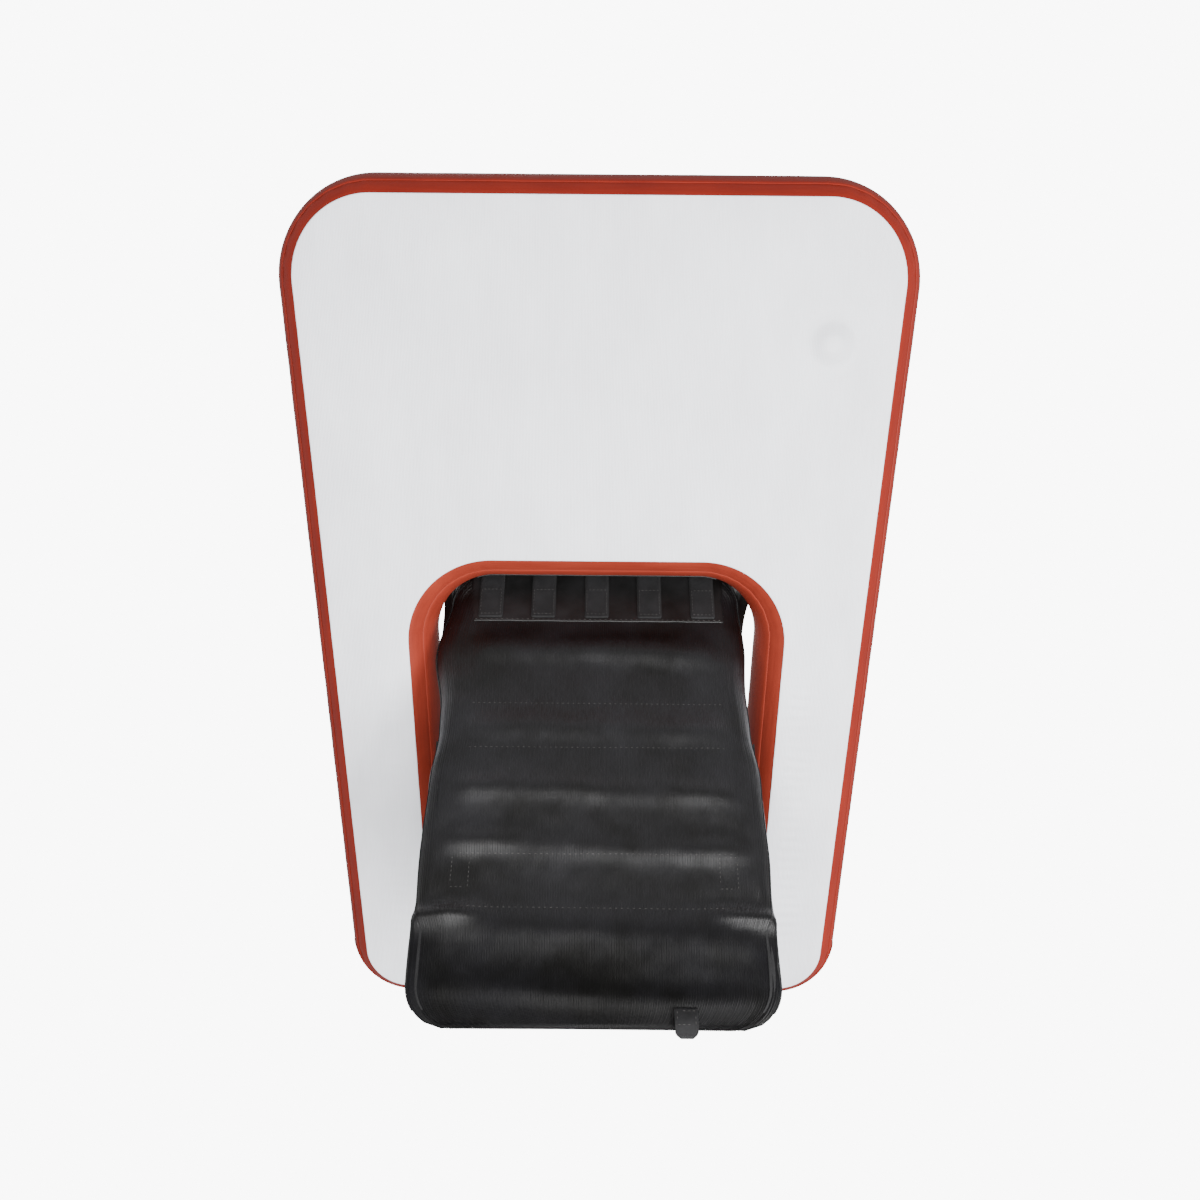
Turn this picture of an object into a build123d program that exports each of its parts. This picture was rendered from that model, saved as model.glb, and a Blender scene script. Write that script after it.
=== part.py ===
from build123d import *

import math
import os

# Inflatable boarding platform with a U-shaped notch and a hinged mesh ramp, for dogs and swimmers.
# Units are millimetres. +Z is up out of the deck, +Y points to the boat end and the notch opens to -Y.
# The origin is on the flat underside, on the centreline, midway between the boat end and the notch's
# head. The ramp is modelled let down into the water, held at its working angle by two limit straps.

# ---- driving dimensions: the air chamber ----
thickness = 150.0  # underside to deck, fabric to fabric
boat_end_half = 462.0  # half width of the flat face at the boat end
leg_end_half = 397.0  # half width of the flat face at the leg ends
closed_length = 543.0  # boat end to the notch's head
notch_length = 781.0  # notch's head to the leg ends
notch_head_half = 313.0
notch_mouth_half = 288.0
boat_corner_radius = 120.0
leg_outer_radius = 72.0
leg_inner_radius = 28.0
notch_head_radius = 140.0
bulge = 38.0  # how far the side wall swells out past the face's edge
skin = 1.5  # coated drop-stitch face
wall = 1.5  # side wall strip
band = 1.2  # second layer on the side wall
band_margin = 22.0  # bare wall above and below the band
cover_margin = 6.0  # bare band above and below a leg end's cover
layer_gap = 0.3  # modelled gap between layers that are glued together

# ---- driving dimensions: deck ----
pad_thickness = 5.0
pad_inset = 26.0  # bare border beside the pad
pad_boat_margin = 122.0  # bare strip at the boat end, for the rings and the handle
pad_leg_margin = 210.0  # bare strip at the leg ends, for the rings
pad_valve_clearance = 12.0  # round the valve's flange and the opened cap
pad_corner_radius = 18.0
patch_radius = 44.0
patch_thickness = 1.5
ring_wire = 6.0
ring_inside_width = 50.0
ring_loop_width = 42.0
ring_loop_tail = 34.0
ring_fabric = 2.0
ring_clearance = 0.3
ring_patch_shift = 10.0  # from the ring's bar to the patch's centre, under the webbing's tail
boat_ring_from_corner = 132.0  # in from the boat end's half width
boat_ring_margin = 62.0  # from the boat end's edge to the ring's bar
leg_ring_margin = 132.0  # from the leg end's edge to the ring's bar
handle_span = 210.0  # between the centres of the handle's two patches
handle_width = 38.0
handle_fabric = 3.0
handle_height = 46.0
handle_foot = 50.0
handle_bend = 30.0  # radius where the arch rises from its foot

# ---- driving dimensions: inflation valve, on the deck near the boat end's -X corner ----
valve_from_corner = 109.0  # in from the boat end's half width
valve_from_boat_end = 206.0
flange_radius = 30.0
flange_thickness = 4.0
gasket_thickness = 1.0
barrel_radius = 20.0
barrel_length = 43.0  # below the deck fabric
barrel_wall = 4.0
barrel_lap = 1.0  # how far the barrel runs up into the flange
mouth_radius = 15.0
mouth_depth = 8.0
chamber_radius = 12.0
seat_radius = 10.0
seat_thickness = 4.0
seat_drop = 22.0  # from the deck fabric to the seat's upper side
nut_radius = 35.0
nut_thickness = 8.0
nut_notch = 6.0
nut_notches = 8
pocket_side_clearance = 2.0  # round the nut
pocket_end_clearance = 4.0  # under the barrel
seal_clearance = 0.05  # modelled gap at each face of a seal
stem_radius = 3.0
stem_clearance = 0.2
hub_radius = 5.0
hub_height = 3.0
spider_ribs = 3
spider_rib = 2.0
spring_wire = 1.0
spring_radius = 4.8
spring_turns = 3.0
spring_length = 9.5
spring_play = 0.05
spring_seat_radius = 7.0
spring_seat_thickness = 1.5
button_radius = 7.5
button_height = 3.7
disc_radius = 12.5
disc_thickness = 3.2
stem_tail = 3.0
stem_head = 2.0  # how far the stem's end is wider than the stem
stem_slot_width = 2.0
stem_slot_depth = 1.2
disc_clearance = 0.05
poppet_gap = 0.3
cap_radius = 27.0
cap_thickness = 5.0
cap_boss_clearance_side = 2.0  # from the boss to the mouth's wall
cap_boss_clearance = 0.4  # from the boss to the flange
cap_seal_step = 2.0  # from the mouth's edge to the seal
cap_seal_outer = 24.0
cap_seal_thickness = 1.5
cap_post_radius = 5.0
cap_post_height = 5.0
cap_post_head = 7.0
cap_post_head_height = 1.5
cap_grips = 12
cap_grip_radius = 2.0
tether_thickness = 2.0
tether_width = 10.0
tether_eye_radius = 9.0
tether_clearance = 0.3
tether_hinge_offset = 37.0  # from the valve's axis to the hinge line
tether_pin_radius = 0.75
tether_pin_clearance = 0.1
tether_ear = 3.0
ear_lap = 6.0  # how far an ear's foot runs in over the flange
backing_radius = 45.0  # round swelling of the underside behind the valve
backing_height = 5.0
backing_disc_radius = 23.0
backing_disc_height = 1.0
backing_disc_root = 1.0  # how far below the underside the disc's body ends

# ---- driving dimensions: ramp ----
ramp_angle = 48.6  # below the deck when let down
ramp_length = 742.0  # from the hinge rod to the hem
ramp_side_gap = 67.0  # from the notch head's half width in to the ramp's side
ramp_corner = 35.0
ramp_side_height = 45.0
ramp_fabric = 3.0
ramp_head_step = 1.0  # how far the head is wider than the floor between its rounded edges
ramp_head_length = 60.0  # flat stretch, before the sides turn up
ramp_head_gap = 20.0  # from the hinge rod to the mesh
rod_radius = 5.0
rod_out = 45.0  # from the notch head's edge to the rod
rod_drop = 28.0  # from the deck down to the rod
rod_end = 7.0  # past the last tab
rod_cap_wall = 4.0
rod_cap_length = 9.0
rod_cap_overlap = 3.0
rod_cap_clearance = 0.05
tab_width = 40.0
tab_pitch = 44.0
tab_side_gap = 50.0  # at least this from the ramp's side to the last tab's centre
tab_fabric = 2.5
tab_clearance = 0.3
tab_tail = 60.0
hinge_strip_drop = 8.0  # from the deck down to the strip
hinge_strip_width = 48.0
hinge_strip_end = 2.0  # bare straight wall beside the strip's ends
hinge_strip_fabric = 1.8
tab_foot_margin = 6.0  # bare strip above and below a tab's foot
sleeve_starts = (235.0, 490.0)
sleeve_width = 70.0
sleeve_height = 11.0
sleeve_rounding = 6.6
sleeve_fabric = 1.5
sleeve_end = 3.0  # from the ramp's rounded edge
batten_width = 52.0
batten_thickness = 5.0
batten_end = 8.0  # from the sleeve's end
batten_corner = 10.0
batten_lift = 0.2
apron_start = 566.0
apron_lap = 34.0  # narrow neck that is sewn inside the mesh
apron_step = 5.0  # how far the apron is wider than the mesh, each side
apron_neck_gap = 4.0  # from the mesh to the apron's wide part
apron_fabric = 2.0
apron_corner = 58.0
ballast_radius = 12.5
ballast_wall = 1.5
ballast_end = 56.0  # from the apron's side
ballast_clearance = 0.3
ballast_lift = 0.4  # from the apron to the hem
ballast_from_hem = 32.0
ballast_plug_length = 11.0
ballast_plug_clearance = 0.1
ballast_cap_rim = 1.0
ballast_cap_thickness = 3.8
hem_fabric = 1.5
hem_end = 4.0  # from the ballast's end
loop_x = -122.0
loop_outer = 17.0
loop_inner = 10.5
loop_fabric = 3.0
loop_tail = 30.0

# ---- driving dimensions: limit straps ----
strap_width = 25.0
strap_fabric = 2.0
strap_anchor_reach = 448.0  # from the notch's head to the anchor on the leg's wall
strap_anchor_drop = 64.0  # from the deck
strap_ramp_reach = 330.0  # down the ramp from the hinge rod
strap_ramp_margin = 14.0  # below the top of the ramp's side
strap_patch_length = 76.0
strap_patch_below = 34.0  # from the anchor
strap_patch_above = 26.0
strap_patch_fabric = 1.8
strap_stand_off = 0.6  # between the strap and its patch

# ---- worked out ----
boat_end_y = closed_length / 2
notch_head_y = -closed_length / 2
leg_end_y = notch_head_y - notch_length
half_thickness = thickness / 2
wall_radius = (half_thickness**2 + bulge**2) / (2 * bulge)
wall_centre = bulge - wall_radius  # from the face's edge, outwards, to the wall arc's centre
band_radius = wall_radius + layer_gap + band  # outside of the second layer
valve_x = -(boat_end_half - valve_from_corner)
valve_y = boat_end_y - valve_from_boat_end
rod_y = notch_head_y - rod_out
rod_height = thickness - rod_drop
hinge_strip_high = thickness - hinge_strip_drop
hinge_strip_low = hinge_strip_high - hinge_strip_width
ramp_half = notch_head_half - ramp_side_gap
tab_count = 2 * math.floor((ramp_half - tab_side_gap) / tab_pitch) + 1
rod_half = (tab_count - 1) / 2 * tab_pitch + tab_width / 2 + rod_end
ramp_plane = Plane(
    origin=(0, rod_y, rod_height),
    x_dir=(1, 0, 0),
    z_dir=(0, -math.sin(math.radians(ramp_angle)), math.cos(math.radians(ramp_angle))),
)
tab_outer = rod_radius + tab_clearance + tab_fabric
mesh_top = -tab_outer - layer_gap  # under the tabs' tails, in the ramp's own frame
mesh_low = mesh_top - ramp_fabric


# ---- outline of the flat face ----
def edge_side(y):
    """Half width of the face, out to the platform's side, at y."""
    share = (boat_end_y - y) / (boat_end_y - leg_end_y)
    return boat_end_half + (leg_end_half - boat_end_half) * share


def edge_notch(y):
    """Half width of the notch at y."""
    share = (notch_head_y - y) / notch_length
    return notch_head_half + (notch_mouth_half - notch_head_half) * share


def rounded_chain(points, radii):
    """Lines and tangent arcs along points. radii[i] rounds the i-th inner point."""
    pieces = []
    start = Vector(*points[0])
    for i, radius in enumerate(radii, 1):
        before, corner, after = (Vector(*points[k]) for k in (i - 1, i, i + 1))
        u = (corner - before).normalized()
        v = (after - corner).normalized()
        turn = math.atan2(u.cross(v).Z, u.dot(v))
        setback = radius * math.tan(abs(turn) / 2)
        arc_start = corner - u * setback
        side = 1 if turn > 0 else -1
        centre = arc_start + Vector(-u.Y, u.X, 0) * radius * side
        pieces.append(("line", start, arc_start))
        pieces.append(("arc", arc_start, centre, turn))
        start = corner + v * setback
    pieces.append(("line", start, Vector(*points[-1])))
    return pieces


leg_seam = (leg_end_half - leg_outer_radius + notch_mouth_half + leg_inner_radius) / 2
side_chain = rounded_chain(
    [
        (leg_seam, leg_end_y),
        (leg_end_half, leg_end_y),
        (boat_end_half, boat_end_y),
        (-boat_end_half, boat_end_y),
        (-leg_end_half, leg_end_y),
        (-leg_seam, leg_end_y),
    ],
    [leg_outer_radius, boat_corner_radius, boat_corner_radius, leg_outer_radius],
)
notch_chain = rounded_chain(
    [
        (-leg_seam, leg_end_y),
        (-notch_mouth_half, leg_end_y),
        (-notch_head_half, notch_head_y),
        (notch_head_half, notch_head_y),
        (notch_mouth_half, leg_end_y),
        (leg_seam, leg_end_y),
    ],
    [leg_inner_radius, notch_head_radius, notch_head_radius, leg_inner_radius],
)


def closed_face(lines):
    """Face bounded by lines, arcs and polylines."""
    return make_face(Wire([edge for line in lines for edge in line.edges()]))


def face_outline():
    """The flat face's outline as one sketch face."""
    edges = []
    for kind, start, *rest in side_chain + notch_chain:
        if kind == "line":
            edges.append(Line(start, rest[0]))
            continue
        centre, turn = rest
        middle = centre + (start - centre).rotate(Axis.Z, math.degrees(turn / 2))
        end = centre + (start - centre).rotate(Axis.Z, math.degrees(turn))
        edges.append(ThreePointArc(start, middle, end))
    return closed_face(edges)


def along_chain(chain, profile):
    """profile(plane) swept along a chain. The plane's X points out of the platform and its Y is up."""
    solids = []
    for kind, start, *rest in chain:
        if kind == "line":
            run = rest[0] - start
            tangent = run.normalized()
        else:
            centre, turn = rest
            radial = (start - centre).normalized()
            side = 1 if turn > 0 else -1
            tangent = Vector(-radial.Y, radial.X, 0) * side
        plane = Plane(origin=start, x_dir=tangent.cross(Vector(0, 0, 1)), z_dir=-tangent)
        section = profile(plane)
        if kind == "line":
            solids.append(extrude(section, amount=run.length, dir=tangent))
        else:
            axis = Axis(centre, (0, 0, side))
            solids.append(revolve(section, axis, revolution_arc=math.degrees(abs(turn))))
    return solids[0].fuse(*solids[1:]).clean()


def wall_edge(radius, height):
    """How far out a wall arc of this radius stands at this height above the underside."""
    return wall_centre + math.sqrt(radius**2 - (height - half_thickness) ** 2)


def wall_strip(inner, outer, low, high):
    """Profile of a strip that follows the swollen wall between two heights."""

    def profile(plane):
        heights = (low, (low + high) / 2, high)
        near = [(wall_edge(inner, z), z) for z in heights]
        far = [(wall_edge(outer, z), z) for z in heights]
        lines = [
            ThreePointArc(near[0], near[1], near[2]),
            Line(near[2], far[2]),
            ThreePointArc(far[2], far[1], far[0]),
            Line(far[0], near[0]),
        ]
        return plane * closed_face(lines)

    return profile


def wall_piece(chain_piece, length_from, length, profile):
    """A strip on one straight stretch of the wall, from a distance along it."""
    _, start, end = chain_piece
    tangent = (end - start).normalized()
    origin = start + tangent * length_from
    plane = Plane(origin=origin, x_dir=tangent.cross(Vector(0, 0, 1)), z_dir=-tangent)
    return extrude(profile(plane), amount=length, dir=tangent)


def cylinder(radius, low, high, x=0.0, y=0.0):
    """Upright cylinder between two heights."""
    return Pos(x, y, (low + high) / 2) * Cylinder(radius, high - low)


def tube(outer, inner, low, high, x=0.0, y=0.0):
    """Upright tube between two heights."""
    return cylinder(outer, low, high, x, y) - cylinder(inner, low, high, x, y)


# ---- air chamber ----
outline = face_outline()
wall_end = wall * half_thickness / wall_radius  # height of the wall strip's slanted end
skin_inset = wall + layer_gap


def face_skin(low):
    return Pos(0, 0, low) * extrude(offset(outline, -skin_inset), amount=skin)


def bottom_skin():
    return face_skin(0)


def top_skin():
    hole = cylinder(barrel_radius + layer_gap, 0, thickness + 1, valve_x, valve_y)
    return face_skin(thickness - skin) - hole


def drop_stitch_core():
    """Threads and air between the skins, as one closed solid with a pocket for the valve."""
    low = skin + layer_gap
    high = thickness - skin - layer_gap
    reach = wall_radius - wall - layer_gap
    overlap = 4.0

    def swelling(plane):
        points = [(wall_edge(reach, z), z) for z in (low, half_thickness, high)]
        lines = [
            ThreePointArc(*points),
            Polyline(points[2], (-overlap - skin_inset, high), (-overlap - skin_inset, low), points[0]),
        ]
        return plane * closed_face(lines)

    middle = Pos(0, 0, low) * extrude(offset(outline, -skin_inset), amount=high - low)
    rim = along_chain(side_chain + notch_chain, swelling)
    pocket_floor = thickness - barrel_length - pocket_end_clearance
    pocket = cylinder(nut_radius + pocket_side_clearance, pocket_floor, thickness, valve_x, valve_y)
    return middle + rim - pocket


wall_profile = wall_strip(wall_radius - wall, wall_radius, wall_end, thickness - wall_end)
band_profile = wall_strip(
    wall_radius + layer_gap, band_radius, band_margin, thickness - band_margin
)


def side_wall():
    return along_chain(side_chain, wall_profile)


def notch_wall():
    return along_chain(notch_chain, wall_profile)


def side_band():
    return along_chain(side_chain, band_profile)


def notch_band():
    return along_chain(notch_chain, band_profile)


def leg_end_covers():
    """Patches over the seam where the side and notch bands meet, one at each leg's end."""
    profile = wall_strip(
        band_radius + layer_gap,
        band_radius + layer_gap + band,
        band_margin + cover_margin,
        thickness - band_margin - cover_margin,
    )
    chains = (notch_chain[-2:] + side_chain[:2], side_chain[-2:] + notch_chain[:2])
    return [along_chain(chain, profile) for chain in chains]


# ---- deck ----
boat_ring_x = boat_end_half - boat_ring_from_corner
boat_ring_y = boat_end_y - boat_ring_margin
leg_ring_y = leg_end_y + leg_ring_margin
leg_ring_x = (edge_side(leg_ring_y) + edge_notch(leg_ring_y)) / 2
ring_places = [
    ("ring_boat_left", -boat_ring_x, boat_ring_y, 1),
    ("ring_boat_right", boat_ring_x, boat_ring_y, 1),
    ("ring_leg_left", -leg_ring_x, leg_ring_y, -1),
    ("ring_leg_right", leg_ring_x, leg_ring_y, -1),
]
loop_radius = ring_wire / 2 + ring_clearance + ring_fabric
ring_axis_z = thickness + patch_thickness + layer_gap + loop_radius


def deck_pad():
    """Foam pad that covers the deck between the boat end's strip and the leg ends' strips."""
    sketch = offset(outline, -pad_inset)
    long = 4 * (closed_length + notch_length)
    top = boat_end_y - pad_boat_margin
    low = leg_end_y + pad_leg_margin
    window = Pos(0, (top + low) / 2) * Rectangle(long, top - low)
    round_hole = Pos(valve_x, valve_y) * Circle(flange_radius + pad_valve_clearance)
    cap_hole = Pos(valve_x + tether_hinge_offset, valve_y) * SlotOverall(
        2 * (tether_hinge_offset + cap_radius + pad_valve_clearance),
        2 * (cap_radius + pad_valve_clearance),
    )
    pad = extrude(sketch & window, amount=pad_thickness)
    ends = pad.edges().filter_by(Axis.Z).filter_by(
        lambda edge: min(abs(edge.center().Y - top), abs(edge.center().Y - low)) < 1
    )
    pad = fillet(ends, pad_corner_radius)
    pad -= extrude(round_hole + cap_hole, amount=pad_thickness)
    return Pos(0, 0, thickness) * pad


def patch_discs(places):
    return [
        cylinder(patch_radius, thickness, thickness + patch_thickness, x, y) for x, y in places
    ]


def ring_patches():
    return patch_discs([(x, y - side * ring_patch_shift) for _, x, y, side in ring_places])


def ring_loops():
    """Webbing folded round each ring's bar and sewn to its patch."""
    inner = ring_wire / 2 + ring_clearance
    solids = []
    for _, x, y, side in ring_places:
        tail_low = -loop_radius
        section = (
            Circle(loop_radius)
            + Pos(-side * ring_loop_tail / 2, tail_low + ring_fabric / 2)
            * Rectangle(ring_loop_tail, ring_fabric)
            - Circle(inner)
        )
        plane = Plane(origin=(x - ring_loop_width / 2, y, ring_axis_z), x_dir=(0, 1, 0), z_dir=(1, 0, 0))
        solids.append(extrude(plane * section, amount=ring_loop_width))
    return solids


def ring(x, y, side):
    """Stainless D ring: a straight bar in the webbing and a round bow, lying on the deck."""
    half = (ring_inside_width + ring_wire) / 2
    bow_start = ring_wire
    left = Vector(-half, 0, 0)
    right = Vector(half, 0, 0)
    bow = [
        Line(left, left + Vector(0, side * bow_start, 0)),
        ThreePointArc(
            left + Vector(0, side * bow_start, 0),
            Vector(0, side * (bow_start + half), 0),
            right + Vector(0, side * bow_start, 0),
        ),
        Line(right + Vector(0, side * bow_start, 0), right),
    ]
    section = Plane(origin=left, z_dir=(0, side, 0)) * Circle(ring_wire / 2)
    bent = sweep(section, path=Wire(bow))
    bar = Rot(0, 90, 0) * Cylinder(ring_wire / 2, 2 * half)
    ends = [Pos(s * half, 0, 0) * Sphere(ring_wire / 2) for s in (-1, 1)]
    return Pos(x, y, ring_axis_z) * (bent + bar + ends[0] + ends[1])


def handle_patches():
    x = handle_span / 2
    return patch_discs([(-x, boat_ring_y), (x, boat_ring_y)])


def handle():
    """Webbing carry handle that arches between its two sewn feet."""
    low = thickness + patch_thickness + layer_gap
    foot_end = handle_span / 2 + handle_foot / 2
    inner_end = handle_span / 2 - handle_foot / 2
    # the arch's radius, from two tangent arcs that rise by the handle's height
    rise = handle_height - handle_bend
    arch_radius = (inner_end**2 + rise**2 - handle_bend**2) / (2 * (handle_bend + rise))
    bend_centre = Vector(-inner_end, low + handle_bend)
    arch_centre = Vector(0, low + handle_height - arch_radius)
    joining = (arch_centre - bend_centre).normalized()
    lean = math.atan2(joining.X, -joining.Y)

    def arch(lift):
        bend = handle_bend - lift
        halfway = Vector(math.sin(lean / 2), -math.cos(lean / 2))
        join = bend_centre + joining * bend
        middle = bend_centre + halfway * bend
        start = bend_centre - Vector(0, bend)
        top = arch_centre + Vector(0, arch_radius + lift)
        mirrored = [Vector(-point.X, point.Y) for point in (join, middle, start)]
        return [
            ThreePointArc(start, middle, join),
            ThreePointArc(join, top, mirrored[0]),
            ThreePointArc(*mirrored),
        ]

    feet = [
        Polyline(
            (side * inner_end, low + handle_fabric),
            (side * foot_end, low + handle_fabric),
            (side * foot_end, low),
            (side * inner_end, low),
        )
        for side in (-1, 1)
    ]
    plane = Plane(origin=(0, boat_ring_y + handle_width / 2, 0), x_dir=(1, 0, 0), z_dir=(0, -1, 0))
    return extrude(plane * closed_face(arch(handle_fabric) + arch(0) + feet), amount=handle_width)


# ---- valve ----
flange_low = thickness + gasket_thickness
flange_top = flange_low + flange_thickness
seat_top = thickness - seat_drop
seat_low = seat_top - seat_thickness
hub_top = seat_top + hub_height
spring_top = hub_top + spring_length
button_low = spring_top + spring_seat_thickness + poppet_gap
disc_top = seat_low - poppet_gap
disc_low = disc_top - disc_thickness
cap_low = flange_top + cap_seal_thickness
cap_top = cap_low + cap_thickness
tether_low = cap_top + tether_clearance
tether_axis_z = tether_low + tether_thickness / 2
tether_axis_x = valve_x + tether_hinge_offset


def at_valve(shape):
    return Pos(valve_x, valve_y, 0) * shape


def valve_body():
    """Flanged, threaded barrel with the pump's mouth, the poppet's seat and the stem's guide."""
    body = cylinder(flange_radius, flange_low, flange_top)
    body += cylinder(barrel_radius, thickness - barrel_length, flange_low + barrel_lap)
    body -= cylinder(mouth_radius, flange_top - mouth_depth, flange_top)
    body -= cylinder(chamber_radius, seat_top, flange_top)
    body -= cylinder(seat_radius, seat_low, seat_top)
    body -= cylinder(barrel_radius - barrel_wall, thickness - barrel_length, seat_low)
    spider = cylinder(hub_radius, seat_top, hub_top)
    reach = (chamber_radius + barrel_radius - barrel_wall) / 2
    for i in range(spider_ribs):
        rib = Pos(reach / 2, 0, (seat_top + hub_top) / 2) * Box(reach, spider_rib, hub_height)
        spider += Rot(0, 0, 360 * i / spider_ribs) * rib
    spider -= cylinder(stem_radius + stem_clearance, seat_top, hub_top)
    ears = hinge_ears()
    return at_valve(body + spider + ears)


def hinge_ears():
    """Two ears on the flange's edge that carry the tether's end."""
    solids = []
    base = tether_hinge_offset + tether_ear
    for side in (-1, 1):
        y = side * (tether_width / 2 + tether_clearance + tether_ear / 2)
        height = tether_axis_z + tether_thickness - flange_low
        post = Pos(tether_hinge_offset, y, flange_low + height / 2) * Box(
            2 * tether_ear, tether_ear, height
        )
        foot_length = base - flange_radius + ear_lap
        foot = Pos(base - foot_length / 2, y, flange_low + flange_thickness / 2) * Box(
            foot_length, tether_ear, flange_thickness
        )
        solids.append(post + foot)
    bridge_length = 2 * tether_ear + tether_width + 2 * tether_clearance
    pin = Pos(tether_hinge_offset, 0, tether_axis_z) * Rot(90, 0, 0) * Cylinder(
        tether_pin_radius, bridge_length
    )
    return solids[0] + solids[1] + pin


def valve_gasket():
    return at_valve(
        tube(flange_radius - 1, barrel_radius + layer_gap, thickness, flange_low - seal_clearance)
    )


def valve_nut():
    high = thickness - skin - layer_gap
    low = high - nut_thickness
    nut = tube(nut_radius, barrel_radius + layer_gap, low, high)
    for i in range(nut_notches):
        notch = Pos(nut_radius, 0, (low + high) / 2) * Box(nut_notch, nut_notch, nut_thickness + 1)
        nut -= Rot(0, 0, 360 * i / nut_notches) * notch
    return at_valve(nut)


def valve_spring_seat():
    high = spring_top + spring_seat_thickness
    return at_valve(tube(spring_seat_radius, stem_radius + stem_clearance, spring_top, high))


def valve_spring():
    """Coil spring between the guide's hub and its seat under the button."""
    rise = spring_length - spring_wire
    path = Helix(pitch=rise / spring_turns, height=rise, radius=spring_radius)
    section = Plane(origin=path @ 0, z_dir=path % 0) * Circle(spring_wire / 2 - spring_play)
    coil = sweep(section, path=path, is_frenet=True)
    return at_valve(Pos(0, 0, hub_top + spring_wire / 2) * coil)


def valve_stem():
    stem = cylinder(stem_radius, disc_low - stem_tail, button_low)
    stem += cylinder(button_radius, button_low, button_low + button_height)
    stem += cylinder(stem_radius + stem_head, disc_low - stem_tail, disc_low - poppet_gap)
    slot = Box(2 * button_radius + 1, stem_slot_width, 2 * stem_slot_depth)
    stem -= Pos(0, 0, button_low + button_height) * slot
    return at_valve(stem)


def valve_disc():
    return at_valve(tube(disc_radius, stem_radius + disc_clearance, disc_low, disc_top))


def valve_cap():
    """Cap with a boss inside its seal, grip scallops and the post that the tether's eye turns on."""
    cap = cylinder(cap_radius, cap_low, cap_top)
    for i in range(cap_grips):
        scallop = Pos(cap_radius + cap_grip_radius / 2, 0, 0) * cylinder(
            cap_grip_radius, cap_low - 1, cap_top + 1
        )
        cap -= Rot(0, 0, 360 * i / cap_grips) * scallop
    cap += cylinder(mouth_radius - cap_boss_clearance_side, flange_top + cap_boss_clearance, cap_low)
    post_top = cap_top + cap_post_height
    cap += cylinder(cap_post_radius, cap_top, post_top)
    cap += cylinder(cap_post_head, post_top - cap_post_head_height, post_top)
    return at_valve(cap)


def valve_cap_seal():
    inner = mouth_radius + cap_seal_step
    return at_valve(tube(cap_seal_outer, inner, flange_top + seal_clearance, cap_low - seal_clearance))


def valve_tether():
    """Arm from the hinge at the flange's edge to the eye round the cap's post."""
    high = tether_low + tether_thickness
    arm = Pos(tether_hinge_offset / 2, 0, (tether_low + high) / 2) * Box(
        tether_hinge_offset, tether_width, tether_thickness
    )
    knuckle = Pos(tether_hinge_offset, 0, tether_axis_z) * Rot(90, 0, 0) * Cylinder(
        tether_thickness, tether_width
    )
    eye = cylinder(tether_eye_radius, tether_low, high)
    hole = cylinder(cap_post_radius + tether_clearance, tether_low - 1, high + 1)
    pin_hole = Pos(tether_hinge_offset, 0, tether_axis_z) * Rot(90, 0, 0) * Cylinder(
        tether_pin_radius + tether_pin_clearance, tether_width + 1
    )
    return at_valve(arm + knuckle + eye - hole - pin_hole)


def valve_backing():
    """Round swelling of the underside behind the valve, with its reinforcing disc."""
    sphere = (backing_radius**2 + backing_height**2) / (2 * backing_height)
    ball = Pos(valve_x, valve_y, sphere - backing_height) * Sphere(sphere)
    block = Pos(valve_x, valve_y, -backing_height) * Box(
        3 * backing_radius, 3 * backing_radius, 2 * backing_height
    )
    disc_low_z = -backing_height - backing_disc_height
    disc = cylinder(backing_disc_radius, disc_low_z, -backing_disc_root, valve_x, valve_y)
    return (ball & block) + disc


# ---- ramp hinge ----
def hinge_strip():
    """Patch on the notch's head wall that the fixed tabs are sewn to."""
    straight = notch_chain[4]
    profile = wall_strip(
        band_radius + layer_gap,
        band_radius + layer_gap + hinge_strip_fabric,
        hinge_strip_low,
        hinge_strip_high,
    )
    length = (straight[2] - straight[1]).length
    return wall_piece(straight, hinge_strip_end, length - 2 * hinge_strip_end, profile)


strip_radius = band_radius + layer_gap + hinge_strip_fabric


def tab_loop(x):
    """Loop of webbing round the hinge rod, without its tail."""
    plane = Plane(origin=(x - tab_width / 2, rod_y, rod_height), x_dir=(0, 1, 0), z_dir=(1, 0, 0))
    ring_face = Circle(tab_outer) - Circle(rod_radius + tab_clearance)
    return extrude(plane * ring_face, amount=tab_width)


def tab_centres(parity):
    middle = (tab_count - 1) / 2
    return [(i - middle) * tab_pitch for i in range(tab_count) if i % 2 == parity]


def fixed_tabs():
    """Tabs that hold the hinge rod to the notch's head wall."""
    foot_profile = wall_strip(
        strip_radius + layer_gap,
        strip_radius + layer_gap + tab_fabric,
        hinge_strip_low + tab_foot_margin,
        hinge_strip_high - tab_foot_margin,
    )
    solids = []
    for x in tab_centres(1):
        start = Vector(x - tab_width / 2, notch_head_y)
        foot = wall_piece(("line", start, start + Vector(tab_width, 0)), 0, tab_width, foot_profile)
        tail_z = rod_height + tab_outer - tab_fabric / 2
        wall_y = notch_head_y - wall_edge(strip_radius + layer_gap + tab_fabric / 2, tail_z)
        tail = Pos(x, (rod_y + wall_y) / 2, tail_z) * Box(tab_width, wall_y - rod_y, tab_fabric)
        clear = Plane.YZ.offset(x - tab_width / 2 - 1) * (
            Pos(rod_y, rod_height) * Circle(rod_radius + tab_clearance)
        )
        solids.append(tab_loop(x) + tail + foot - extrude(clear, amount=tab_width + 2))
    return solids


def hinge_rod():
    return Pos(0, rod_y, rod_height) * Rot(0, 90, 0) * Cylinder(rod_radius, 2 * rod_half)


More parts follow.
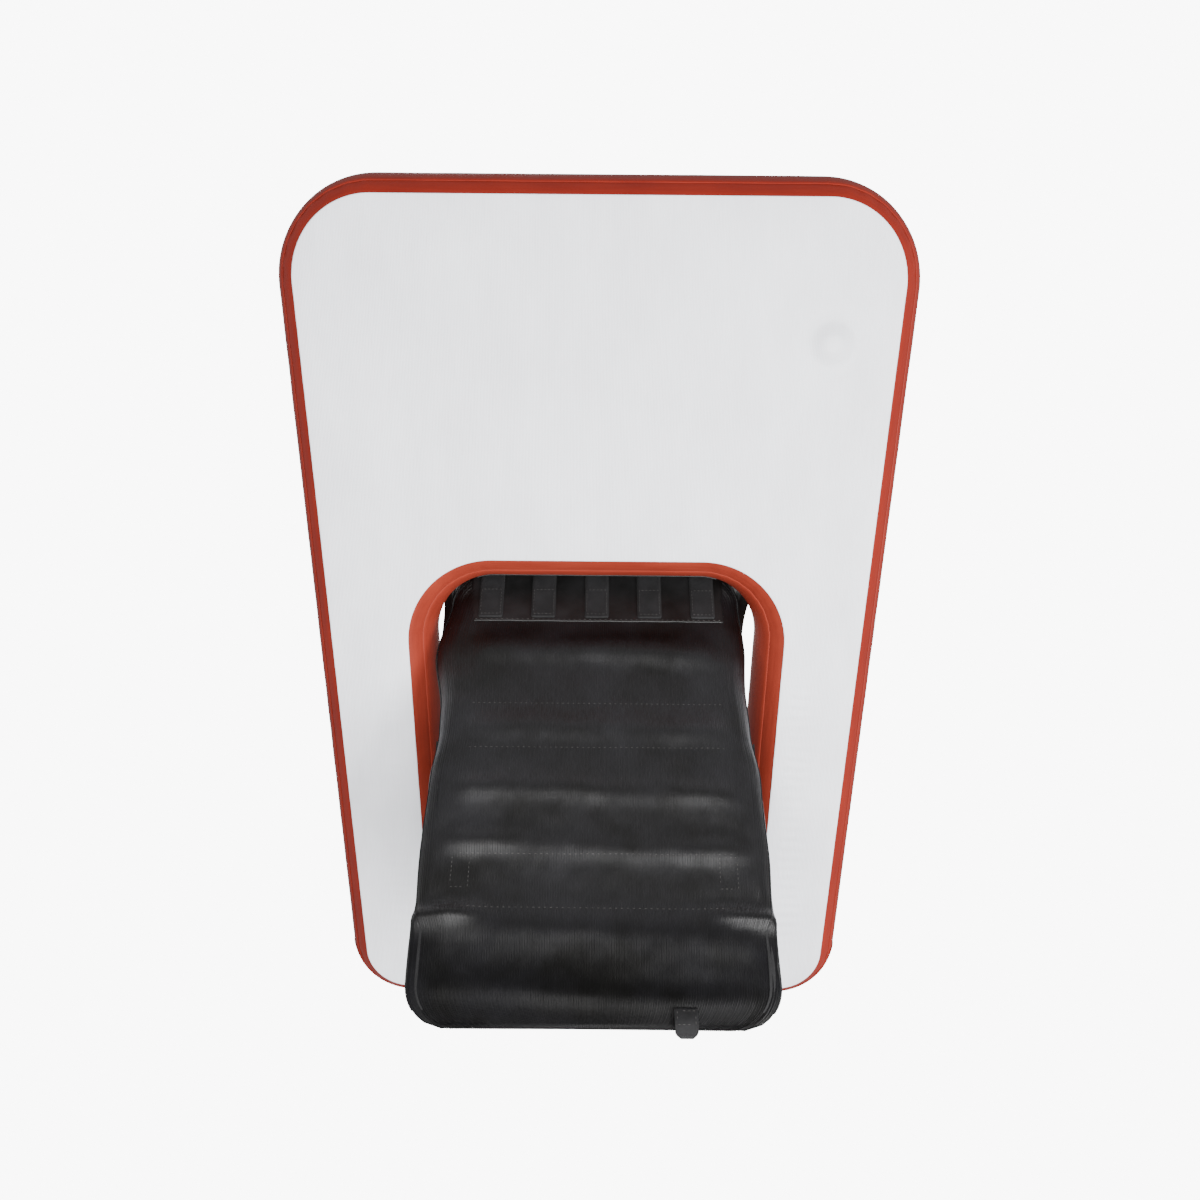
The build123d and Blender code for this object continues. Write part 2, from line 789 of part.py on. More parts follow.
def hinge_rod_caps():
    """Push-on caps that keep the rod in its tabs."""
    solids = []
    for side in (-1, 1):
        x = side * (rod_half + rod_cap_length / 2 - rod_cap_overlap)
        cap = Pos(x, rod_y, rod_height) * Rot(0, 90, 0) * Cylinder(
            rod_radius + rod_cap_wall, rod_cap_length
        )
        bore = Pos(0, rod_y, rod_height) * Rot(0, 90, 0) * Cylinder(
            rod_radius + rod_cap_clearance, 2 * (rod_half + rod_cap_clearance)
        )
        solids.append(cap - bore)
    return solids


def ramp_tabs():
    """Tabs that hang the ramp on the rod, sewn to the mesh down its first stretch."""
    solids = []
    for x in tab_centres(0):
        tail = Pos(x, -tab_tail / 2, -tab_outer + tab_fabric / 2) * Box(tab_width, tab_tail, tab_fabric)
        clear = Pos(x, 0, 0) * Rot(0, 90, 0) * Cylinder(rod_radius + tab_clearance, tab_width + 2)
        solids.append(tab_loop(x) + ramp_plane * (tail - clear))
    return solids


# ---- ramp, in the plane that hangs from the rod: X across, -Y down the slope, +Z on the dog's side ----
def ramp_mesh():
    """Mesh floor with low sides that turn up along a rounded edge."""
    end = apron_start + apron_lap
    floor_half = ramp_half - ramp_corner
    head_half = floor_half + ramp_head_step
    head = Pos(0, 0, mesh_low) * extrude(
        make_face(
            Polyline(
                (-head_half, -ramp_head_gap),
                (head_half, -ramp_head_gap),
                (floor_half, -ramp_head_length),
                (-floor_half, -ramp_head_length),
                close=True,
            )
        ),
        amount=ramp_fabric,
    )
    outer = trough_line(0)
    inner = trough_line(ramp_fabric)
    top = mesh_low + ramp_side_height
    half = ramp_half - ramp_fabric
    ends = [Line((half, top), (ramp_half, top)), Line((-ramp_half, top), (-half, top))]
    section = closed_face(outer + inner + ends)
    plane = Plane(origin=(0, -ramp_head_length, 0), x_dir=(1, 0, 0), z_dir=(0, -1, 0))
    body = extrude(plane * section, amount=end - ramp_head_length)
    return ramp_plane * (head + body)


def trough_line(inset):
    """Outline of the trough's outside, or of its inside at a fabric's thickness."""
    low = mesh_low + inset
    half = ramp_half - inset
    radius = ramp_corner - inset
    top = mesh_low + ramp_side_height
    lean = radius * (1 - math.sqrt(0.5))
    lines = []
    for side in (-1, 1):
        floor_end = (side * (half - radius), low)
        middle = (side * (half - lean), low + lean)
        wall_start = (side * half, low + radius)
        lines.append(ThreePointArc(floor_end, middle, wall_start))
        lines.append(Line(wall_start, (side * half, top)))
    lines.append(Line((-(half - radius), low), (half - radius, low)))
    return lines


sleeve_half = ramp_half - ramp_corner - sleeve_end
batten_half = sleeve_half - batten_end


def ramp_sleeves():
    """Pockets sewn across the mesh, one for each batten."""
    solids = []
    for start in sleeve_starts:
        low = mesh_top + layer_gap
        y = -start - sleeve_width / 2
        outer = Pos(0, y, low + sleeve_height / 2) * Box(2 * sleeve_half, sleeve_width, sleeve_height)
        outer = fillet(outer.edges().filter_by(Axis.X).group_by(Axis.Z)[-1], sleeve_rounding)
        inner = Pos(0, y, low + sleeve_height / 2) * Box(
            2 * sleeve_half + 1, batten_width + 2 * sleeve_fabric, sleeve_height - 2 * sleeve_fabric
        )
        solids.append(ramp_plane * (outer - inner))
    return solids


def ramp_battens():
    """Flat strips that keep the mesh spread and give paws a rung."""
    solids = []
    for start in sleeve_starts:
        z = mesh_top + layer_gap + sleeve_fabric + batten_lift + batten_thickness / 2
        batten = Pos(0, -start - sleeve_width / 2, z) * Box(
            2 * batten_half, batten_width, batten_thickness
        )
        batten = fillet(batten.edges().filter_by(Axis.Z), batten_corner)
        solids.append(ramp_plane * batten)
    return solids


apron_half = ramp_half + apron_step
ballast_half = apron_half - ballast_end
ballast_y = -(ramp_length - ballast_from_hem)
ballast_z = mesh_top + layer_gap + apron_fabric + ballast_lift + hem_fabric + ballast_radius


def ramp_apron():
    """Wide foot of coated fabric with rounded corners, which carries the ballast's hem."""
    low = mesh_top + layer_gap
    neck_half = ramp_half - ramp_corner
    neck_end = apron_start + apron_lap + apron_neck_gap
    sketch = make_face(
        Polyline(
            (-neck_half, -apron_start),
            (neck_half, -apron_start),
            (neck_half, -neck_end),
            (apron_half, -neck_end),
            (apron_half, -ramp_length),
            (-apron_half, -ramp_length),
            (-apron_half, -neck_end),
            (-neck_half, -neck_end),
            close=True,
        )
    )
    plate = Pos(0, 0, low) * extrude(sketch, amount=apron_fabric)
    corners = plate.edges().filter_by(Axis.Z).group_by(Axis.Y)[0]
    return ramp_plane * fillet(corners, apron_corner)


def ballast_hem():
    """Fabric tube on the apron that holds the ballast."""
    inner = ballast_radius + ballast_clearance
    half = ballast_half - hem_end
    return ramp_plane * (
        Pos(0, ballast_y, ballast_z)
        * Rot(0, 90, 0)
        * (Cylinder(inner + hem_fabric, 2 * half) - Cylinder(inner, 2 * ballast_half))
    )


def ballast_tube():
    bore = ballast_radius - ballast_wall
    return ramp_plane * (
        Pos(0, ballast_y, ballast_z)
        * Rot(0, 90, 0)
        * (Cylinder(ballast_radius, 2 * ballast_half) - Cylinder(bore, 2 * ballast_half + 2))
    )


def ballast_caps():
    bore = ballast_radius - ballast_wall
    solids = []
    for side in (-1, 1):
        head_x = ballast_half + layer_gap + ballast_cap_thickness / 2
        head = Pos(side * head_x, 0, 0) * Rot(0, 90, 0) * Cylinder(
            ballast_radius + ballast_cap_rim, ballast_cap_thickness
        )
        plug_x = ballast_half + 2 * layer_gap - ballast_plug_length / 2
        plug = Pos(side * plug_x, 0, 0) * Rot(0, 90, 0) * Cylinder(
            bore - ballast_plug_clearance, ballast_plug_length
        )
        solids.append(ramp_plane * (Pos(0, ballast_y, ballast_z) * (head + plug)))
    return solids


def pull_loop():
    """Webbing loop on the ramp's hem, for lifting it."""
    low = mesh_top - loop_fabric
    centre_y = -ramp_length
    sketch = Circle(loop_outer) & (Pos(0, -loop_outer / 2) * Rectangle(2 * loop_outer, loop_outer))
    sketch += Pos(0, loop_tail / 2) * Rectangle(2 * loop_outer, loop_tail)
    sketch -= Circle(loop_inner) & (Pos(0, -loop_inner / 2) * Rectangle(2 * loop_inner, loop_inner))
    return ramp_plane * (Pos(loop_x, centre_y, low) * extrude(sketch, amount=loop_fabric))


# ---- limit straps ----
def strap_ends(side):
    """The strap's ends on the leg's wall and on the ramp's side, on its centreline."""
    y = notch_head_y - strap_anchor_reach
    patch_face = band_radius + layer_gap + strap_patch_fabric
    out = wall_edge(patch_face, half_thickness) + strap_stand_off + strap_fabric / 2
    top = Vector(side * (edge_notch(y) - out), y, thickness - strap_anchor_drop)
    low = ramp_plane.from_local_coords(
        Vector(
            side * (ramp_half + layer_gap + strap_fabric / 2),
            -strap_ramp_reach,
            mesh_low + ramp_side_height - strap_ramp_margin,
        )
    )
    return top, low


def limit_strap(side):
    top, low = strap_ends(side)
    run = low - top
    plane = Plane(origin=top, x_dir=run.cross(Vector(side, 0, 0)).normalized(), z_dir=run.normalized())
    return extrude(plane * Rectangle(strap_width, strap_fabric), amount=run.length)


def strap_patches():
    """Patches on the legs' inner walls that the straps are sewn to."""
    anchor = thickness - strap_anchor_drop
    profile = wall_strip(
        band_radius + layer_gap,
        band_radius + layer_gap + strap_patch_fabric,
        anchor - strap_patch_below,
        anchor + strap_patch_above,
    )
    solids = []
    for piece in (notch_chain[2], notch_chain[6]):
        _, start, end = piece
        down = (end - start).normalized()
        share = (notch_head_y - strap_anchor_reach - start.Y) / down.Y
        solids.append(wall_piece(piece, share - strap_patch_length / 2, strap_patch_length, profile))
    return solids


def write(name, shape):
    """Writes one node. A list is a group of separate solids."""
    solids = []
    for part in shape if isinstance(shape, list) else [shape]:
        solids.extend(part.solids())
    export_step(Compound(children=solids) if len(solids) > 1 else solids[0], f"parts/{name}.step")


def main():
    os.makedirs("parts", exist_ok=True)
    nodes = [
        drop_stitch_core,
        bottom_skin,
        top_skin,
        side_wall,
        notch_wall,
        side_band,
        notch_band,
        leg_end_covers,
        deck_pad,
        ring_patches,
        ring_loops,
        handle_patches,
        handle,
        valve_body,
        valve_gasket,
        valve_nut,
        valve_spring_seat,
        valve_spring,
        valve_stem,
        valve_disc,
        valve_cap,
        valve_cap_seal,
        valve_tether,
        valve_backing,
        hinge_strip,
        fixed_tabs,
        hinge_rod,
        hinge_rod_caps,
        ramp_tabs,
        ramp_mesh,
        ramp_sleeves,
        ramp_battens,
        ramp_apron,
        ballast_hem,
        ballast_tube,
        ballast_caps,
        pull_loop,
        strap_patches,
    ]
    for make in nodes:
        write(make.__name__, make())
    for name, x, y, side in ring_places:
        write(name, ring(x, y, side))
    write("limit_strap_left", limit_strap(-1))
    write("limit_strap_right", limit_strap(1))


main()
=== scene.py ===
"""Looks for the inflatable boarding platform: coated fabric, webbing, mesh, foam, steel and moulded plastic.

Metres, in the part's own frame: +Y to the boat end, +Z up out of the deck, underside at Z = 0.
"""

import math

import bmesh
import bpy
from mathutils import Matrix, Vector, kdtree, noise


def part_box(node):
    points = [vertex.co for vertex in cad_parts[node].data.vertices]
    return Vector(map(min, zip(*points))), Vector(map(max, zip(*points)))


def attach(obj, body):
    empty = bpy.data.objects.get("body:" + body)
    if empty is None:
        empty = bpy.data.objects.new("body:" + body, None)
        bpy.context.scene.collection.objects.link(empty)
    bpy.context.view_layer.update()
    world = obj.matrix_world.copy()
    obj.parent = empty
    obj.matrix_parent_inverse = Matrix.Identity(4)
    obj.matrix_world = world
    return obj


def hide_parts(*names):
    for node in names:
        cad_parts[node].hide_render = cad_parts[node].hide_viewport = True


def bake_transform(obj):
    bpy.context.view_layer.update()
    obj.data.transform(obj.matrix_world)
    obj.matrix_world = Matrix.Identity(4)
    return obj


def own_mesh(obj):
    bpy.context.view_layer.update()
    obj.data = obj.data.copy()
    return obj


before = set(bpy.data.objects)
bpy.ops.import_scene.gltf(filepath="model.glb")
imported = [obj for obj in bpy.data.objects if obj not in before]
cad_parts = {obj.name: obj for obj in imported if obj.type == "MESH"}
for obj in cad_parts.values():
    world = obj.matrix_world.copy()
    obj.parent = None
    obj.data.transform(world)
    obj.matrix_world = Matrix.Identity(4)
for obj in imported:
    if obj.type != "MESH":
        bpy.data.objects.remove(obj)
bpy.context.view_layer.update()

# ---- Camera, light and floor ----
# The platform is looked at from under the water: the camera stands below the flat underside and
# leans towards the legs. The floor lies far below it, out of the picture.
camera_below = 1.558
camera_from_boat_edge = 0.198
camera_lean = math.radians(14.7)
camera_roll = math.radians(0.5)
boat_edge_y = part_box("bottom_skin")[1][1]

camera_data = bpy.data.cameras.new("camera")
camera_data.sensor_width = 36.0
camera_data.lens = 30.0
camera_data.shift_x = 0.0028
camera = bpy.data.objects.new("camera", camera_data)
bpy.context.scene.collection.objects.link(camera)
look = Vector((0, -math.sin(camera_lean), math.cos(camera_lean)))
picture_up = Vector((0, math.cos(camera_lean), math.sin(camera_lean)))
picture_right = picture_up.cross(-look)
turn = Matrix((picture_right, picture_up, -look)).transposed() @ Matrix.Rotation(camera_roll, 3, "Z")
camera.matrix_world = Matrix.Translation(
    (0, boat_edge_y - camera_from_boat_edge, -camera_below)
) @ turn.to_4x4()
bpy.context.scene.camera = camera

world = bpy.data.worlds.new("studio")
bpy.context.scene.world = world
world.use_nodes = True
sky = world.node_tree.nodes["Background"]
sky.inputs["Color"].default_value = (1, 1, 1, 1)
seen = world.node_tree.nodes.new("ShaderNodeLightPath")
sky_strength = world.node_tree.nodes.new("ShaderNodeMapRange")
sky_strength.inputs["To Min"].default_value = 0.66  # what lights the object
sky_strength.inputs["To Max"].default_value = 9.0  # what shows behind it
world.node_tree.links.new(seen.outputs["Is Camera Ray"], sky_strength.inputs["Value"])
world.node_tree.links.new(sky_strength.outputs["Result"], sky.inputs["Strength"])

for name, place, size, power in (
    ("soft_light_under_left", (1.6, 0.1, -2.6), 1.8, 48.0),
    ("soft_light_under_right", (-1.9, -0.6, -2.3), 1.3, 182.0),
    ("soft_light_front", (-0.1, -0.25, -2.3), 1.2, 84.0),
    ("soft_light_over", (0.3, 0.2, 2.8), 2.4, 70.0),
):
    light_data = bpy.data.lights.new(name, "AREA")
    light_data.size = size
    light_data.energy = power
    light = bpy.data.objects.new(name, light_data)
    light.location = place
    light.rotation_euler = (-Vector(place)).to_track_quat("-Z", "Y").to_euler()
    bpy.context.scene.collection.objects.link(light)

floor_height = -5.0
bpy.ops.mesh.primitive_plane_add(size=400, location=(0, 0, floor_height))
floor = bpy.context.object
floor.name = "floor"
floor_paint = bpy.data.materials.new("pale_floor")
floor_paint.use_nodes = True
floor_paint.node_tree.nodes["Principled BSDF"].inputs["Base Color"].default_value = (0.92, 0.92, 0.92, 1)
floor_paint.node_tree.nodes["Principled BSDF"].inputs["Roughness"].default_value = 0.9
floor.data.materials.append(floor_paint)

# ---- White underside ----
# One sheet of white coated drop-stitch fabric, stretched flat by air pressure. Its edge curves up to
# the wall's seam, the threads print through as fine lines along the platform, and it puckers beside
# the notch. A disc welded behind the valve lifts it in one corner.
chamber_low = 0.0
chamber_high = 0.150
skin_inset = 0.0018  # from the outline to the skin's edge in the frame
boat_corner_radius = 0.120
leg_outer_radius = 0.072
leg_inner_radius = 0.028
notch_head_radius = 0.140
notch_head_half = 0.313
notch_mouth_half = 0.288
leg_end_half = 0.397
boat_end_half = 0.462
leg_edge_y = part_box("bottom_skin")[0][1] - skin_inset
boat_line_y = boat_edge_y + skin_inset
notch_line_y = -boat_line_y
white_thickness = 0.0011
edge_curl = 0.014  # how far in from its edge the face starts to curve
edge_rise = 0.0007
edge_overhang = 0.0020  # how far the curved edge reaches past the outline
loop_spacing = 0.006

leg_seam_x = (leg_end_half - leg_outer_radius + notch_mouth_half + leg_inner_radius) / 2
side_corners = [
    (leg_seam_x, leg_edge_y, 0),
    (leg_end_half, leg_edge_y, leg_outer_radius),
    (boat_end_half, boat_line_y, boat_corner_radius),
    (-boat_end_half, boat_line_y, boat_corner_radius),
    (-leg_end_half, leg_edge_y, leg_outer_radius),
    (-leg_seam_x, leg_edge_y, 0),
]
notch_corners = [
    (-leg_seam_x, leg_edge_y, 0),
    (-notch_mouth_half, leg_edge_y, leg_inner_radius),
    (-notch_head_half, notch_line_y, notch_head_radius),
    (notch_head_half, notch_line_y, notch_head_radius),
    (notch_mouth_half, leg_edge_y, leg_inner_radius),
    (leg_seam_x, leg_edge_y, 0),
]


def walk(corners, spacing=loop_spacing):
    """Points along a rounded line: place, outward normal, distance walked and how sharply it turns."""
    stops = []
    walked = 0.0

    def add(point, normal, bend):
        nonlocal walked
        if stops:
            walked += (point - stops[-1][0]).length
        stops.append((point, normal, walked, bend))

    start = Vector(corners[0][:2])
    for before, corner, after in zip(corners, corners[1:], corners[2:]):
        a, b, c = (Vector(p[:2]) for p in (before, corner, after))
        u, v = (b - a).normalized(), (c - b).normalized()
        angle = math.atan2(u.cross(v), u.dot(v))
        setback = corner[2] * math.tan(abs(angle) / 2)
        arc_start = b - u * setback
        count = max(1, round((arc_start - start).length / spacing))
        for i in range(count):
            add(start.lerp(arc_start, i / count), Vector((u.y, -u.x)), 0.0)
        side = math.copysign(1, angle)
        centre = arc_start + Vector((-u.y, u.x)) * corner[2] * side
        count = max(6, round(abs(angle) * corner[2] / spacing))
        for i in range(count):
            turned = Matrix.Rotation(angle * i / count, 2)
            add(centre + turned @ (arc_start - centre), turned @ Vector((u.y, -u.x)), side / corner[2])
        start = b + v * setback
    end = Vector(corners[-1][:2])
    u = (end - start).normalized()
    count = max(1, round((end - start).length / spacing))
    for i in range(count + 1):
        add(start.lerp(end, i / count), Vector((u.y, -u.x)), 0.0)
    return stops


side_walk = walk(side_corners)
notch_walk = walk(notch_corners)
outline = side_walk[:-1] + notch_walk[:-1]
outline_tree = kdtree.KDTree(len(outline))
for i, stop in enumerate(outline):
    outline_tree.insert((stop[0].x, stop[0].y, 0), i)
outline_tree.balance()


def depth_inside(x, y):
    """How far a point of the face lies in from the outline."""
    return outline_tree.find((x, y, 0))[2]


def smooth(value):
    value = min(max(value, 0.0), 1.0)
    return value * value * (3 - 2 * value)


def soft_noise(x, y, z=0.0, size=0.1):
    """Smooth noise from -1 to 1, with lumps about size across."""
    return noise.noise(Vector((x / size, y / size, z / size + 7.3)))


def finish_piece(mesh_source, name, smooth_angle=40.0):
    """Makes a bmesh a clean, smooth-shaded object at the origin."""
    bmesh.ops.remove_doubles(mesh_source, verts=mesh_source.verts, dist=1e-6)
    bmesh.ops.recalc_face_normals(mesh_source, faces=mesh_source.faces)
    mesh = bpy.data.meshes.new(name)
    mesh_source.to_mesh(mesh)
    mesh_source.free()
    piece = bpy.data.objects.new(name, mesh)
    bpy.context.scene.collection.objects.link(piece)
    bpy.ops.object.select_all(action="DESELECT")
    piece.select_set(True)
    bpy.context.view_layer.objects.active = piece
    bpy.ops.object.shade_smooth_by_angle(angle=math.radians(smooth_angle))
    return piece


def weave(sketch, grid, cloth_at, closed=False):
    """Fills between rows of vertices. cloth_at turns a column and a row into a place on the cloth.
    closed joins each row into a ring and caps both ends."""
    cloth = sketch.loops.layers.uv.new("cloth")
    columns = len(grid[0])
    for k in range(len(grid) - 1):
        for i in range(columns if closed else columns - 1):
            j = (i + 1) % columns
            face = sketch.faces.new((grid[k][i], grid[k + 1][i], grid[k + 1][j], grid[k][j]))
            for loop, spot in zip(face.loops, ((i, k), (i, k + 1), (i + 1, k + 1), (i + 1, k))):
                loop[cloth].uv = cloth_at(*spot)
    if closed:
        for row in (grid[0], grid[-1]):
            sketch.faces.new(row)


def thicken(piece, thickness, offset=-1.0):
    """Gives an open sheet its wall, on the side that its normals point away from."""
    bpy.context.view_layer.objects.active = piece
    wall = piece.modifiers.new("wall", "SOLIDIFY")
    wall.thickness = thickness
    wall.offset = offset
    bpy.ops.object.modifier_apply(modifier=wall.name)


def cut_panel(sketch, rim, x_cuts, y_cuts):
    """One flat face inside a rim of vertices, cut along lines of x and of y."""
    part_of_panel = sketch.faces.layers.int.new("part_of_panel")
    sketch.faces.new(rim)[part_of_panel] = 1
    for axis, cuts in (((1, 0, 0), x_cuts), ((0, 1, 0), y_cuts)):
        for cut in cuts:
            place = tuple(a * cut for a in axis)
            inner = [f for f in sketch.faces if f[part_of_panel]]
            edges = {e for f in inner for e in f.edges}
            bmesh.ops.bisect_plane(
                sketch, geom=inner + list(edges), plane_co=place, plane_no=axis, dist=1e-7
            )


def steps(low, high, pitch):
    count = round((high - low) / pitch)
    return [low + (high - low) * (i + 0.5) / count for i in range(count)]


def edge_height(inside):
    """How far the face has curved away from flat at this distance in from the outline."""
    return edge_rise * max((edge_curl - inside) / (edge_curl + edge_overhang), 0.0) ** 3


def face_sheet(insets, x_cuts, y_cuts):
    """A flat sheet inside the outline, with close rows of faces along its edge."""
    sketch = bmesh.new()
    rows = []
    for inset in insets:
        flat_row = [p - n * inset for p, n, _, _ in outline]
        rows.append([sketch.verts.new((p.x, p.y, inset)) for p in flat_row])
    for outer, inner in zip(rows, rows[1:]):
        for i in range(len(outer)):
            j = (i + 1) % len(outer)
            sketch.faces.new((outer[i], outer[j], inner[j], inner[i]))
    cut_panel(sketch, rows[-1], x_cuts, y_cuts)
    return sketch


def shape_face(sketch, height_at):
    """Lifts each vertex of a flat sheet. The rows along its edge hold their inset as their height."""
    for vertex in sketch.verts:
        x, y, inset = vertex.co
        inside = inset if inset < edge_insets[-1] - 1e-6 else depth_inside(x, y)
        vertex.co.z = height_at(x, y, inside)


valve_low, valve_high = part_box("valve_backing")
valve_x = (valve_low[0] + valve_high[0]) / 2
valve_y = (valve_low[1] + valve_high[1]) / 2
swelling_radius = (valve_high[0] - valve_low[0]) / 2
swelling_height = 0.0056
disc_radius = 0.0225
disc_height = 0.0022
pucker_pitch = 0.0185
pucker_height = 0.0018


def underside_height(x, y, inside):
    """Height of the white face, downwards from Z = 0."""
    height = -edge_height(inside)
    height += 0.0005 * soft_noise(x, y, size=0.16) * smooth(inside / 0.03)
    from_valve = math.hypot(x - valve_x, y - valve_y)
    height += swelling_height * smooth(1 - from_valve / swelling_radius)
    height += disc_height * smooth((disc_radius - from_valve) / 0.0028 + 0.5)
    height -= 0.0006 * math.exp(-(((from_valve - swelling_radius) / 0.008) ** 2))
    beside = abs(x) - notch_mouth_half
    along = smooth((-0.42 - y) / 0.12) * smooth((y + 1.0) / 0.08)
    across = math.exp(-(((beside - 0.047) / 0.021) ** 2))
    strength = 1.0 if x < 0 else 0.35
    wave = math.sin(2 * math.pi * (y + 0.004 * soft_noise(x, y, size=0.05)) / pucker_pitch)
    height += pucker_height * strength * along * across * wave * (0.6 + 0.6 * soft_noise(0, y, size=0.06))
    return height


edge_insets = (-edge_overhang, -0.0005, 0.0015, 0.006, 0.011, 0.016, 0.0215)
leg_rows = steps(leg_edge_y, -0.40, 0.0046)
field_rows = steps(-0.40, boat_line_y, 0.009)
face_columns = steps(-boat_end_half, boat_end_half, 0.0075)
sketch = face_sheet(edge_insets, face_columns, leg_rows + field_rows)
shape_face(sketch, lambda x, y, inside: chamber_low - underside_height(x, y, inside))
white_underside = finish_piece(sketch, "white_underside")
if white_underside.data.polygons[len(white_underside.data.polygons) // 2].normal.z > 0:
    white_underside.data.flip_normals()
thicken(white_underside, white_thickness)


def new_material(name, colour, roughness, **sockets):
    """A material with its even colour, gloss and other sockets set on the shader."""
    material = bpy.data.materials.new(name)
    material.use_nodes = True
    shader = material.node_tree.nodes["Principled BSDF"]
    shader.inputs["Base Color"].default_value = (*colour, 1)
    shader.inputs["Roughness"].default_value = roughness
    for socket, value in sockets.items():
        shader.inputs[socket.replace("_", " ")].default_value = value
    return material


def add_node(material, kind, wires=(), **settings):
    """Adds a node. wires says which output feeds which of its inputs, or gives a plain value."""
    node = material.node_tree.nodes.new(kind)
    for key, value in settings.items():
        setattr(node, key, value)
    for socket, source in wires:
        if isinstance(source, bpy.types.NodeSocket):
            material.node_tree.links.new(source, node.inputs[socket])
        else:
            node.inputs[socket].default_value = source
    return node


def object_place(material, scale=(1, 1, 1), shift=(0, 0, 0), turned=(0, 0, 0)):
    """Object coordinates through a Mapping node."""
    source = add_node(material, "ShaderNodeTexCoord").outputs["Object"]
    return add_node(
        material,
        "ShaderNodeMapping",
        [("Vector", source), ("Scale", scale), ("Location", shift), ("Rotation", turned)],
    ).outputs["Vector"]


def cloth_place(material, scale=(1, 1, 1)):
    """The piece's own map, in metres along and across the cloth."""
    source = add_node(material, "ShaderNodeUVMap", uv_map="cloth").outputs["UV"]
    return add_node(material, "ShaderNodeMapping", [("Vector", source), ("Scale", scale)]).outputs["Vector"]


def mottle(material, vector, size, detail=3.0, roughness=0.55):
    """Noise with lumps about size metres across."""
    return add_node(
        material,
        "ShaderNodeTexNoise",
        [("Vector", vector), ("Scale", 1 / size), ("Detail", detail), ("Roughness", roughness)],
    ).outputs["Fac"]


def ramp_between(material, value, low, high, dark, light):
    """Turns a value into a colour between two colours."""
    blend = add_node(material, "ShaderNodeValToRGB", [("Fac", value)])
    for stop, place, colour in zip(blend.color_ramp.elements, (low, high), (dark, light)):
        stop.position = place
        stop.color = (*colour, 1)
    return blend.outputs["Color"]


def combine(material, operation, a, b):
    return add_node(material, "ShaderNodeMath", [(0, a), (1, b)], operation=operation).outputs[0]


def spread(material, value, low, high):
    """Turns 0 to 1 into low to high."""
    return add_node(
        material, "ShaderNodeMapRange", [("Value", value), ("To Min", low), ("To Max", high)]
    ).outputs["Result"]


def wire_shader(material, colour=None, roughness=None, height=None, relief=0.0005, strength=1.0):
    """Feeds the shader's colour, roughness and bump."""
    shader = material.node_tree.nodes["Principled BSDF"]
    links = material.node_tree.links
    if colour is not None:
        links.new(colour, shader.inputs["Base Color"])
    if roughness is not None:
        links.new(roughness, shader.inputs["Roughness"])
    if height is not None:
        bump = add_node(
            material, "ShaderNodeBump", [("Height", height), ("Distance", relief), ("Strength", strength)]
        )
        links.new(bump.outputs["Normal"], shader.inputs["Normal"])


def bands(material, vector, scale, direction, distortion, detail=2.0, detail_scale=1.0):
    """Even waves in one direction."""
    return add_node(
        material,
        "ShaderNodeTexWave",
        [("Vector", vector), ("Scale", scale), ("Distortion", distortion), ("Detail", detail),
         ("Detail Scale", detail_scale)],
        wave_type="BANDS",
        bands_direction=direction,
    ).outputs["Fac"]


def weigh(material, *parts):
    """Adds up values, each times its own weight."""
    weighed = [combine(material, "MULTIPLY", value, weight) for value, weight in parts]
    total = weighed[0]
    for part in weighed[1:]:
        total = combine(material, "ADD", total, part)
    return total


def wear_material(piece, material):
    piece.data.materials.clear()
    piece.data.materials.append(material)


def fit_piece(piece, material, body, slot, *nodes):
    """Gives a piece its material, its body and the frame's nodes that it stands for."""
    wear_material(piece, material)
    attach(piece, body)
    if nodes:
        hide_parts(*nodes)


thread_pitch = 0.0036


def white_coated_fabric():
    """White PVC over drop-stitch cloth: threads print through in lines, with faint blotches."""
    material = new_material("white_coated_fabric", (0.69, 0.695, 0.73), 0.42, Specular_IOR_Level=0.35)
    plain = object_place(material)
    stretched = object_place(material, scale=(1, 0.045, 1))
    streaks = mottle(material, stretched, 0.0035, detail=4.0, roughness=0.7)
    broad = mottle(material, plain, 0.24, detail=3.0)
    patches = mottle(material, object_place(material, scale=(1, 0.35, 1), shift=(3, 1, 0)), 0.06)
    threads = bands(material, plain, 1 / thread_pitch / 2, "X", 0.9, detail_scale=0.6)
    cross = bands(material, plain, 1 / thread_pitch / 2, "Y", 0.9, detail=1.0)
    tone = weigh(material, (broad, 0.375), (patches, 0.375), (streaks, 0.25))
    # Darker ring just outside the welded disc's edge: painted shade of the step and hollow round the disc.
    valve_place = (valve_x, valve_y, chamber_low)
    from_valve = add_node(
        material, "ShaderNodeVectorMath", [(0, plain), (1, valve_place)], operation="DISTANCE"
    ).outputs["Value"]
    rim = combine(material, "ABSOLUTE", combine(material, "SUBTRACT", from_valve, disc_radius + 0.001), 0.0)
    painted_ring_shade = add_node(
        material,
        "ShaderNodeMapRange",
        [("Value", rim), ("From Min", 0.001), ("From Max", 0.013), ("To Min", -0.26), ("To Max", 0.0)],
    ).outputs["Result"]
    tone = combine(material, "ADD", tone, painted_ring_shade)
    colour = ramp_between(material, tone, 0.34, 0.66, (0.62, 0.625, 0.66), (0.75, 0.76, 0.80))
    gloss = spread(material, patches, 0.34, 0.55)
    height = weigh(material, (threads, 0.5), (streaks, 0.9), (cross, 0.18))
    wire_shader(material, colour, gloss, height, relief=0.0005, strength=0.75)
    return material


white_fabric = white_coated_fabric()
fit_piece(white_underside, white_fabric, "root", "white_pvc", "bottom_skin", "valve_backing")

